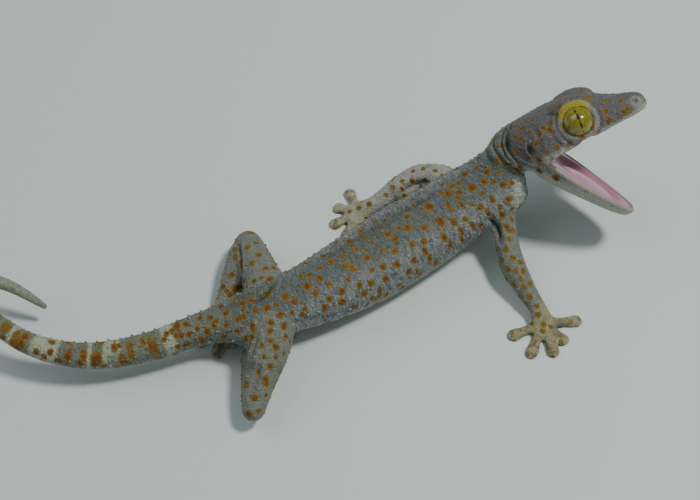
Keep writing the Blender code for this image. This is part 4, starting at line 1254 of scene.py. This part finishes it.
# Tongue

tonguePlan = {"cell": 0.35, "grain": 0.2}


def makeTongue():
    work = bmesh.new()
    work.from_mesh(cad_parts["tongue"].data)
    bmesh.ops.remove_doubles(work, verts=work.verts, dist=2e-6)
    mesh = bpy.data.meshes.new("tongueShape")
    work.to_mesh(mesh)
    work.free()
    tongue = linkObject("tongueShape", mesh)
    applyModifier(tongue, "REMESH", mode="VOXEL", voxel_size=tonguePlan["cell"] * millimetre)
    setPlaces(tongue.data, smoothed(places(tongue.data), edgePairs(tongue.data), 14, 0.5))
    shadeSmooth(tongue)
    return tongue


def tongueMaterial():
    material, graph = newMaterial("tongueFlesh")
    grain = graph.noise(graph.place(), 700.0, 4.0)
    raised = graph.add("ShaderNodeBump", {"Height": grain, "Distance": tonguePlan["grain"] * millimetre})
    graph.shade({"Base Color": graph.blend(grain, tones["tongue"], tones["tongueLight"]),
                 "Normal": raised.outputs["Normal"], "Roughness": 0.22, "Coat Weight": 0.4})
    return material


# Light and floor, in metres and watts

studio = {
    "key": {"place": (0.44, -0.20, 0.98), "size": 0.2, "power": 7.8, "colour": (1.0, 0.985, 0.95)},
    "fill": {"place": (-0.5, 0.55, 0.9), "size": 0.9, "power": 2.6, "colour": (0.95, 0.97, 1.0)},
    "world": (0.9, 0.95, 1.0, 1), "worldPower": 0.20, "floorSize": 6.0}


def makeFloor():
    bpy.ops.mesh.primitive_plane_add(size=studio["floorSize"], location=(0, 0, 0))
    floor = bpy.context.object
    floor.name = "floor"
    material, graph = newMaterial("paleFloor")
    graph.shade({"Base Color": tones["floor"], "Roughness": 0.55})
    floor.data.materials.append(material)


def addLight(name):
    lamp = studio[name]
    data = bpy.data.lights.new(name, "AREA")
    data.shape = "DISK"
    data.size = lamp["size"]
    data.energy = lamp["power"]
    data.color = lamp["colour"]
    light = linkObject(name, data)
    light.location = lamp["place"]
    light.rotation_euler = Vector(lamp["place"]).to_track_quat("Z", "Y").to_euler()


def makeLight():
    addLight("key")
    addLight("fill")
    world = bpy.data.worlds.new("studio")
    bpy.context.scene.world = world
    world.use_nodes = True
    world.node_tree.nodes["Background"].inputs[0].default_value = studio["world"]
    world.node_tree.nodes["Background"].inputs[1].default_value = studio["worldPower"]


# Building everything

skin, region = makeSkin()
print("skin made:", len(skin.data.polygons), "faces")
detailHead(skin)
addFolds(skin)
print("folds pressed")
markHead(skin)
markSkin(skin, region)
print("markings laid")
markings = markingGroup()
skin.data.materials.append(skinMaterial("geckoSkin", markings, 0.16))
shadeSmooth(skin)
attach(skin, "root")
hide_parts(*skinPlan["nodes"])

tree, skinTree = surfaceTree(skin.data), pointTree(places(skin.data))
bodyLook = tubercleMaterial("tubercleSkin", markings, 0.03)
coats = (("tuberclesBack", trunkRoots(tree) + scatteredRoots(skin.data, region), "skin"),
         ("tuberclesTail", tailRoots(tree), "tail_skin"))
for name, roots, slotName in coats:
    bumps = makeTubercles(name, roots, skin, region, skinTree)
    bumps.data.materials.append(bodyLook)
    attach(bumps, "root")
    print(name, len(roots), "tubercles")
thinBelow(skin)
print("skin thinned below:", sum(len(face.vertices) - 2 for face in skin.data.polygons), "triangles")

claws = makeClaws()
claws.data.materials.append(clawMaterial())
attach(claws, "root")
print("claws made")

eyeLook = eyeMaterial()
for side, name in ((1, "eye_left"), (-1, "eye_right")):
    eye = makeEye(name + "Seen", side)
    eye.data.materials.append(eyeLook)
    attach(eye, "root")
    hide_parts(name)
print("eyes made")

tongue = makeTongue()
tongue.data.materials.append(tongueMaterial())
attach(tongue, "root")
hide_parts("tongue")
print("tongue made")

makeFloor()
makeLight()
makeCamera()
print("light and camera set")
